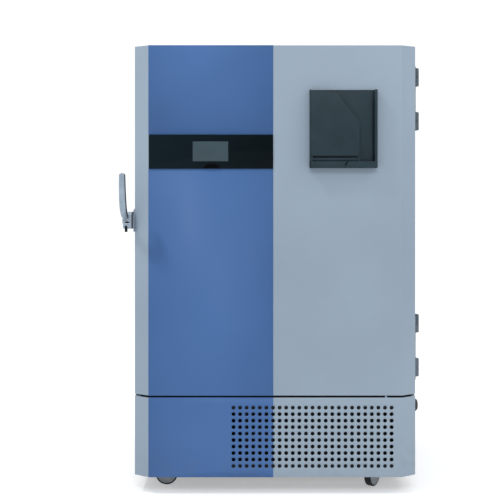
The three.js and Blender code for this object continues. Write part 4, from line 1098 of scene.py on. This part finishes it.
innerLook = dict(pullDeep=0.009, pullLeft=0.028, pullWide=0.024, pullHalf=0.035, skirtWide=0.004,
                 skirtHigh=0.007)
for level in range(1, 5):
    node = f"inner_door_{level}"
    low, high = corners(node)
    face = low[1] + innerLook["pullDeep"]
    deep = high[1] - face
    profile = [(0.0, deep), (0.0, 0.006), (0.0008, 0.003), (0.0028, 0.0008), (0.006, 0.0), (0.032, 0.0),
               (0.0345, 0.0006), (0.037, 0.0032), (0.042, 0.0042), (0.05, 0.0044), (0.10, 0.0044)]
    slabShape = framed(profile, low[0], high[0], low[2], high[2], face, 0.008, capFirst=True, capLast=True)
    makePiece(f"innerDoor{level}", slabShape, node, palePlastic, [node], smooth=50)
    middle = (low[2] + high[2]) / 2
    pullLeft = low[0] + innerLook["pullLeft"]
    pullRight, half = pullLeft + innerLook["pullWide"], innerLook["pullHalf"]
    skirt, tall = innerLook["skirtWide"], half + innerLook["skirtHigh"]
    pull = joined(block((pullLeft, low[1], middle - half), (pullRight, face + 0.001, middle + half),
                        "y", 0.006, 0.003, 5),
                  block((pullLeft - skirt, face - 0.002, middle - tall),
                        (pullRight + skirt, face + 0.001, middle + tall), "y", 0.004))
    makePiece(f"innerDoorPull{level}", pull, node, blackPlastic)
    sealLoop = [(0.004, 0), (0.016, 0), (0.017, 0.0012), (0.0155, 0.0032), (0.0045, 0.0032), (0.003, 0.0012)]
    seal = framed(sealLoop, low[0], high[0], low[2], high[2], high[1], 0.004, closeRows=True)
    makePiece(f"innerDoorSeal{level}", seal, node, sealRubber)

shelfLook = dict(bend=0.004, sheet=0.0012, ribs=14, ribDeep=0.0016)
for name in ("lower", "middle", "upper"):
    low, high = corners(f"shelf_{name}")
    plateZ = low[2] + 0.0258
    line = [(low[1] + 0.010, low[2]), (low[1], low[2]), (low[1], plateZ), (high[1] - 0.001, plateZ),
            (high[1] - 0.001, high[2])]
    profile = bent(line, shelfLook["bend"], 6)
    plate = np.linspace(profile[12], profile[13], 18)[1:-1]
    profile = np.concatenate([profile[:13], plate, profile[13:]])
    x = np.linspace(low[0], high[0], shelfLook["ribs"] * 8 + 1)
    wave = np.clip(np.cos((x - low[0]) / (high[0] - low[0]) * shelfLook["ribs"] * 2 * math.pi) * 2.4, -1, 1)
    inside = np.clip(np.minimum(profile[:, 0] - low[1] - 0.03, high[1] - 0.03 - profile[:, 0]) / 0.02, 0, 1)
    inside = inside * (np.abs(profile[:, 1] - plateZ) < 1e-4)
    y = np.repeat(profile[:, :1], len(x), 1)
    z = profile[:, 1:] - shelfLook["ribDeep"] * inside[:, None] * (1 - wave[None]) / 2
    shelf = gridShape(np.stack([np.repeat(x[None], len(profile), 0), y, z], -1))
    makePiece(f"shelf{name.capitalize()}", shelf, "cabinet", stainlessAcross, [f"shelf_{name}"],
              turnOut=False, sheet=shelfLook["sheet"], smooth=40)
print("inside made")


# machine compartment

for node, finish in {"base_frame": chassisCoat, "first_stage_compressor": blackCoat,
                     "second_stage_compressor": blackCoat, "filter_mat": filterCloth, "fan_shroud": blackCoat,
                     "fan_motor": blackCoat, "fan_blades": fanPlastic, "electrical_box": zincPlate}.items():
    keepNode(node, finish)

coilLook = dict(fins=120, finSheet=0.0006, tubeRadius=0.0048, rows=7, rowSpace=0.026, endSheet=0.0015,
                endInset=0.022, tubeInset=0.028)
low, high = corners("condenser")
endInset = coilLook["endInset"]
fin = block((0, low[1], low[2] + 0.002), (coilLook["finSheet"], high[1] - 0.004, high[2] - 0.002), "x", 0.001,
            0.0001, 2)
finXs = np.linspace(low[0] + endInset, high[0] - endInset, coilLook["fins"])
fins = copies(fin, np.stack([finXs, finXs * 0, finXs * 0], 1))
makePiece("condenserFins", fins, "cabinet", finAluminium, ["condenser"], smooth=20)
tubeZs = np.linspace(low[2] + coilLook["tubeInset"], high[2] - coilLook["tubeInset"], coilLook["rows"] * 2)
tubes = []
for k in range(coilLook["rows"]):
    z0, z1 = tubeZs[2 * k], tubeZs[2 * k + 1]
    y = low[1] + 0.022
    line = bent([(high[0] - 0.010, y, z0), (low[0] + 0.002, y, z0), (low[0] + 0.002, y, z1),
                 (high[0] - 0.010, y, z1)], 0.0088, 7)
    tubes += [tube(line + (0, back, 0), coilLook["tubeRadius"], 10) for back in (0, coilLook["rowSpace"])]
makePiece("condenserTubes", joined(*tubes), "cabinet", copper)
ends = [block((x, low[1] - 0.002, low[2]), (x + coilLook["endSheet"], high[1], high[2]), "x", 0.002, 0.0003)
        for x in (low[0] + endInset - 0.004, high[0] - endInset + 0.003)]
makePiece("condenserEnds", joined(*ends), "cabinet", zincPlate)

# a strip under the cabinet's front edge that closes the compartment against light from its rear slots
baffleLook = dict(inset=0.055, front=0.002, back=0.0035, deep=0.038, gap=0.0003)
shellLow, shellHigh = corners("outer_shell")
baffle = block((shellLow[0] + baffleLook["inset"], shellLow[1] + baffleLook["front"],
                shellLow[2] - baffleLook["deep"]),
               (shellHigh[0] - baffleLook["inset"], shellLow[1] + baffleLook["back"],
                shellLow[2] - baffleLook["gap"]), "y", 0.002, 0.0003)
makePiece("ceilingBaffle", baffle, "cabinet", chassisCoat)

low, high = corners("filter_mat")
filterFrame = framed([(-0.004, 0), (0.012, 0), (0.012, 0.012), (-0.004, 0.012)], low[0], high[0],
                     low[2] + 0.004, high[2], low[1] - 0.001, 0.004, closeRows=True)
makePiece("filterFrame", filterFrame, "cabinet", blackPlastic)

boxLow, boxHigh = corners("electrical_box")
lidScrews = [(x, y, boxHigh[2]) for x in (boxLow[0] + 0.012, boxHigh[0] - 0.012)
             for y in (boxLow[1] + 0.012, boxHigh[1] - 0.012)]
addScrews("electricalBoxScrews", lidScrews, "z", 1, 0.004, 0.002)

pipeLook = dict(radius=0.0048, bend=0.018, rise=0.012, foot=0.06, inset=0.014, outReach=0.06, outForward=0.30,
                lowReach=0.035, lowForward=0.22, lowRise=0.11)


def pipeRun(points):
    return tube(bent(points, pipeLook["bend"], 8), pipeLook["radius"])


pipes = []
for stage, side in (("first", 1), ("second", -1)):
    canLow, canHigh = corners(f"{stage}_stage_compressor")
    x, y = ((canLow + canHigh) / 2)[:2]
    edge = (canHigh[0] if side > 0 else canLow[0]) - side * pipeLook["inset"]
    top, foot = canHigh[2] + pipeLook["rise"], canLow[2] + pipeLook["foot"]
    out, front = edge + side * pipeLook["outReach"], y - pipeLook["outForward"]
    pipes.append(pipeRun([(x, y, canHigh[2] - 0.004), (x, y, top), (out, y, top), (out, front, top),
                          (out, front, foot)]))
    out, front = edge + side * pipeLook["lowReach"], y - pipeLook["lowForward"]
    top = foot + pipeLook["lowRise"]
    pipes.append(pipeRun([(edge - side * 0.01, y, foot), (out, y, foot), (out, y, top), (out, front, top)]))
makePiece("copperPipes", joined(*pipes), "cabinet", copper)
print("machine compartment made")


# casters

casterLook = dict(wheel=0.050, rim=0.0425, wide=0.032, trail=0.030, axle=0.006, leg=0.003, gap=0.002,
                  crownLow=0.105, crownHigh=0.111, headTop=0.1197, swivel=0.032, plate=0.003,
                  pedalPivot=0.064)


def hubFace(look, side):
    # the dished face of the wheel: depth grows between six ribs, as sin^2 of three times the angle, and falls
    # to nothing at the boss and the rim
    radii = np.array([0.0064, 0.012, 0.0125, 0.016, 0.022, 0.029, 0.036, 0.040, look["rim"]])
    dish = np.array([0.0, 0.0, 0.0015, 0.0035, 0.0045, 0.0045, 0.0035, 0.001, 0.0])
    angle = np.arange(72) * 2 * math.pi / 72
    rib = np.clip(np.abs(np.sin(3 * angle)) * 1.8, 0, 1) * 0.7 + 0.3
    r, a = np.meshgrid(radii, angle, indexing="ij")
    across = look["wide"] / 2 - 0.0005 - dish[:, None] * rib[None]
    return gridShape(np.stack([r * np.cos(a), side * across, r * np.sin(a)], -1), closeColumns=True)


def wheelShapes(look):
    # the tyre is a ring of rounded section; the hub is two dished faces joined by its bore and its rim
    r, half, rim = look["wheel"], look["wide"] / 2, look["rim"]
    edge = 0.006
    tread = [(rim, half - 0.0005), (rim + 0.0006, half - 0.0001), (rim + 0.0012, half)]
    tread += [(r - edge + edge * math.cos(t), half - edge + edge * math.sin(t)) for t in arcTurn(85, 0, 6)]
    tread += [(r, half - 0.010), (r, 0.0)]
    inner = [(rim - 0.004, 0.004 - half), (rim - 0.004, half - 0.004)]
    profile = tread + [(a, -b) for a, b in tread[::-1][1:]] + inner
    tyre = turnedShape(profile + profile[:1], (0, 0, 0), "y", 64, cap=False)
    walls = [gridShape(np.stack([onAxis(circlePoints(72) * size, y, "y")
                                 for y in (0.0005 - half, half - 0.0005)]), closeColumns=True)
             for size in (0.0064, rim)]
    return tyre, joined(hubFace(look, 1), hubFace(look, -1), *walls)


def forkShapes(look, braked):
    # crown, two pressed legs with rounded outlines, a ball race above and the axle's bolt through both legs
    t, g = look["leg"], look["wide"] / 2 + look["gap"]
    z, trail = look["crownHigh"], look["trail"]
    leg = [(-0.022, z), (-0.020, z - 0.022), (trail - 0.013, look["wheel"] - 0.004),
           (trail - 0.007, look["wheel"] - 0.012), (trail + 0.007, look["wheel"] - 0.012),
           (trail + 0.013, look["wheel"] - 0.004), (trail + 0.018, z)]
    leg = rounded(leg, [0.002, 0.012, 0.010, 0.006, 0.006, 0.010, 0.002], 6)
    crown = rounded([(-0.026, -g - t), (trail + 0.018, -g - t), (trail + 0.018, g + t), (-0.026, g + t)],
                    [0.012, 0.003, 0.003, 0.012])
    parts = [slab(leg, -g - t, -g, "y", 0.0008), slab(leg, g, g + t, "y", 0.0008),
             slab(crown, look["crownLow"] + 0.001, z, "z", 0.0015)]
    s, top = look["swivel"], look["headTop"]
    parts.append(turnedShape([(0.012, z - 0.001), (s - 0.004, z - 0.0005), (s, z + 0.0012), (s, z + 0.0036),
                              (s - 0.0035, z + 0.0044), (s - 0.0035, z + 0.0052), (s, z + 0.006),
                              (s, top - 0.0006), (s - 0.001, top)], (0, 0, 0), "z", 48))
    parts.append(turnedShape([(0.009, look["crownLow"] - 0.006), (0.009, look["crownLow"] + 0.002)],
                             (0, 0, 0), "z", 6))
    parts.append(turnedShape([(look["axle"], -g - t), (look["axle"], g + t)], (trail, 0, look["wheel"]),
                             "y", 24))
    for side in (-1, 1):
        ends = sorted([side * (g + t), side * (g + t + 0.0028)])
        parts.append(turnedShape([(0.0085, ends[0]), (0.0085, ends[1])], (trail, 0, look["wheel"]), "y", 6))
    if braked:
        for side in (-1, 1):
            ends = sorted([side * g, side * (g + t)])
            lug = rounded([(trail + 0.008, look["crownLow"] - 0.002),
                           (trail + 0.041, look["crownLow"] - 0.002), (trail + 0.041, z), (trail + 0.008, z)],
                          0.0035)
            parts.append(slab(lug, ends[0], ends[1], "y", 0.0006))
    return joined(*parts)


def topPlate(look):
    # the fixed plate under the base tray: a ring between a rounded rectangle and a circle,
    # with four bolt heads
    top, low = look["headTop"] + 0.0002, look["headTop"] - look["plate"]
    outer = rectangle(-0.052, 0.052, -0.044, 0.044, 0.008)
    inner = outer / np.linalg.norm(outer, axis=1, keepdims=True) * (look["swivel"] + 0.002)
    rows = [onAxis(outer * 0.992, low, "z"), onAxis(outer, low + 0.0005, "z"), onAxis(outer, top, "z"),
            onAxis(inner, top, "z"), onAxis(inner, low, "z")]
    head = turnedShape([(0.0068, low - 0.0045), (0.0074, low - 0.0040), (0.0074, low - 0.0002),
                        (0.0072, low)], (0, 0, 0), "z", 6)
    places = [(x, y, 0) for x in (-0.042, 0.042) for y in (-0.034, 0.034)]
    return joined(gridShape(np.stack(rows), closeRows=True, closeColumns=True), copies(head, places))


def pedalShape(look):
    # a ribbed tread that falls away from its barrel: its top is 0.0045 - 0.008 * share^1.3, where share goes
    # from 0 at the barrel to 1 at the tip, with ribs that follow a clipped sine
    half = look["wide"] / 2 + look["gap"] - 0.0003
    x = np.linspace(-0.004, 0.024, 57)
    ribs = 0.0006 * np.clip(np.sin(x / 0.0035 * 2 * math.pi) * 3, 0, 1) * (x > 0.007)
    fall = np.clip((x + 0.004) / 0.028, 0, 1) ** 1.3
    top, under = 0.0045 - 0.008 * fall + ribs, 0.0005 - 0.0075 * fall
    outline = np.concatenate([np.stack([x, under], 1), np.stack([x, top], 1)[::-1]])
    tread = gridShape(np.stack([onAxis(outline, y, "y") for y in (-half, -half + 0.001, half - 0.001, half)]),
                      closeColumns=True, capFirst=True, capLast=True)
    return joined(tread, turnedShape([(0.0045, -half), (0.005, -half + 0.0005), (0.005, half - 0.0005),
                                      (0.0045, half)], (0, 0, 0), "y", 28))


def placedCaster(shape, place, degrees, local=(0, 0, 0)):
    points, faces = shape
    return turnedBy(points + np.array(local, float), degrees, "z") + np.array([place[0], place[1], 0]), faces


for corner in ("front_left", "front_right", "rear_left", "rear_right"):
    braked = corner.startswith("front")
    swivel, axle = jointPlace(corner + "_swivel"), jointPlace(corner + "_wheel_spin")
    degrees = math.degrees(math.atan2(axle[1] - swivel[1], axle[0] - swivel[0]))
    name = "caster" + "".join(word.capitalize() for word in corner.split("_"))
    tyre, hub = wheelShapes(casterLook)
    wheelPlace = (casterLook["trail"], 0, casterLook["wheel"])
    makePiece(name + "Fork", placedCaster(forkShapes(casterLook, braked), swivel, degrees),
              f"caster_{corner}", zincPlate, [f"caster_{corner}_fork"], smooth=30)
    points, faces = topPlate(casterLook)
    makePiece(name + "Plate", (points + (swivel[0], swivel[1], 0), faces), "cabinet", zincPlate,
              smooth=30)
    makePiece(name + "Tyre", placedCaster(tyre, swivel, degrees, wheelPlace), f"wheel_{corner}",
              tyreRubber, [f"caster_{corner}_wheel"], smooth=40)
    makePiece(name + "Hub", placedCaster(hub, swivel, degrees, wheelPlace), f"wheel_{corner}",
              hubPlastic, smooth=30)
    if braked:
        pedalPlace = (casterLook["pedalPivot"], 0, casterLook["crownLow"] + 0.002)
        makePiece(name + "Pedal", placedCaster(pedalShape(casterLook), swivel, degrees, pedalPlace),
                  f"brake_{corner}", pedalPlastic, [f"caster_{corner}_brake"], smooth=40)
print("casters made")


# floor, light and camera

floorLook = dict(size=40.0, dip=0.0004, below=0.0002)


def makeFloor(look):
    # a flat square that dips by a hair away from the middle: z = -dip * (r / size)^2 - below
    line = np.linspace(-look["size"], look["size"], 41)
    y, x = np.meshgrid(line, line, indexing="ij")
    z = -look["dip"] * (x ** 2 + y ** 2) / look["size"] ** 2 - look["below"]
    points, faces = gridShape(np.stack([x, y, z], -1))
    mesh = bpy.data.meshes.new("floor")
    mesh.from_pydata(points.tolist(), [], faces)
    mesh.materials.append(floorFinish.material)
    floor = bpy.data.objects.new("floor", mesh)
    scene.collection.objects.link(floor)


floorFinish = Finish("floorFinish", roughness=0.6, specular=0.1, glow=(1.0, 1.0, 1.0, 1.0), glowStrength=0.37)
floorFinish.set(colour=floorFinish.mixed(floorFinish.noise(0.8, 3), paint("D3D5D7"), paint("D8DADC")))
makeFloor(floorLook)

lightLook = dict(sky=1.06, behindCamera=0.6, sideFrom=-0.2)
world = bpy.data.worlds.new("studio")
scene.world = world
world.use_nodes = True
sky = world.node_tree
background = sky.nodes["Background"]
direction = sky.nodes.new("ShaderNodeTexCoord")
parts = sky.nodes.new("ShaderNodeSeparateXYZ")
share = sky.nodes.new("ShaderNodeMapRange")
share.inputs[1].default_value, share.inputs[2].default_value = -1.0, lightLook["sideFrom"]
share.inputs[3].default_value, share.inputs[4].default_value = lightLook["behindCamera"], lightLook["sky"]
sky.links.new(direction.outputs["Generated"], parts.inputs[0])
sky.links.new(parts.outputs["Y"], share.inputs[0])
sky.links.new(share.outputs[0], background.inputs["Strength"])
background.inputs["Color"].default_value = (1.0, 1.0, 1.0, 1.0)


def softLight(name, place, target, size, power):
    lamp = bpy.data.lights.new(name, "AREA")
    lamp.shape, lamp.size, lamp.size_y, lamp.energy = "RECTANGLE", size[0], size[1], power
    light = bpy.data.objects.new(name, lamp)
    scene.collection.objects.link(light)
    place = np.array(place, float)
    forward = np.array(target, float) - place
    forward /= np.linalg.norm(forward)
    flat = math.hypot(forward[0], forward[1])
    light.location = place
    light.rotation_euler = (math.atan2(flat, -forward[2]), 0,
                            math.atan2(forward[1], forward[0]) - math.pi / 2)


softLight("keyLight", (-3.6, -2.0, 7.0), (-0.4, -0.4, 1.1), (0.5, 0.5), 150)
softLight("rightLight", (4.2, -2.0, 5.0), (0.4, -0.4, 1.1), (1.6, 1.6), 45)
softLight("frontLight", (0.3, -4.9, 4.4), (0.1, -0.4, 1.0), (1.8, 0.7), 70)

cameraLook = dict(place=(-0.1015, -4.4685, 1.325), lens=66.2, sensor=36.0, shift=-0.12)
cameraData = bpy.data.cameras.new("camera")
cameraData.lens, cameraData.sensor_width, cameraData.shift_y = (
    cameraLook["lens"], cameraLook["sensor"], cameraLook["shift"])
cameraData.clip_start, cameraData.clip_end = 0.05, 200.0
camera = bpy.data.objects.new("camera", cameraData)
scene.collection.objects.link(camera)
camera.location = cameraLook["place"]
camera.rotation_euler = (math.pi / 2, 0, 0)
scene.camera = camera
scene.view_settings.view_transform = "Standard"
print("stage made")

bpy.context.view_layer.update()
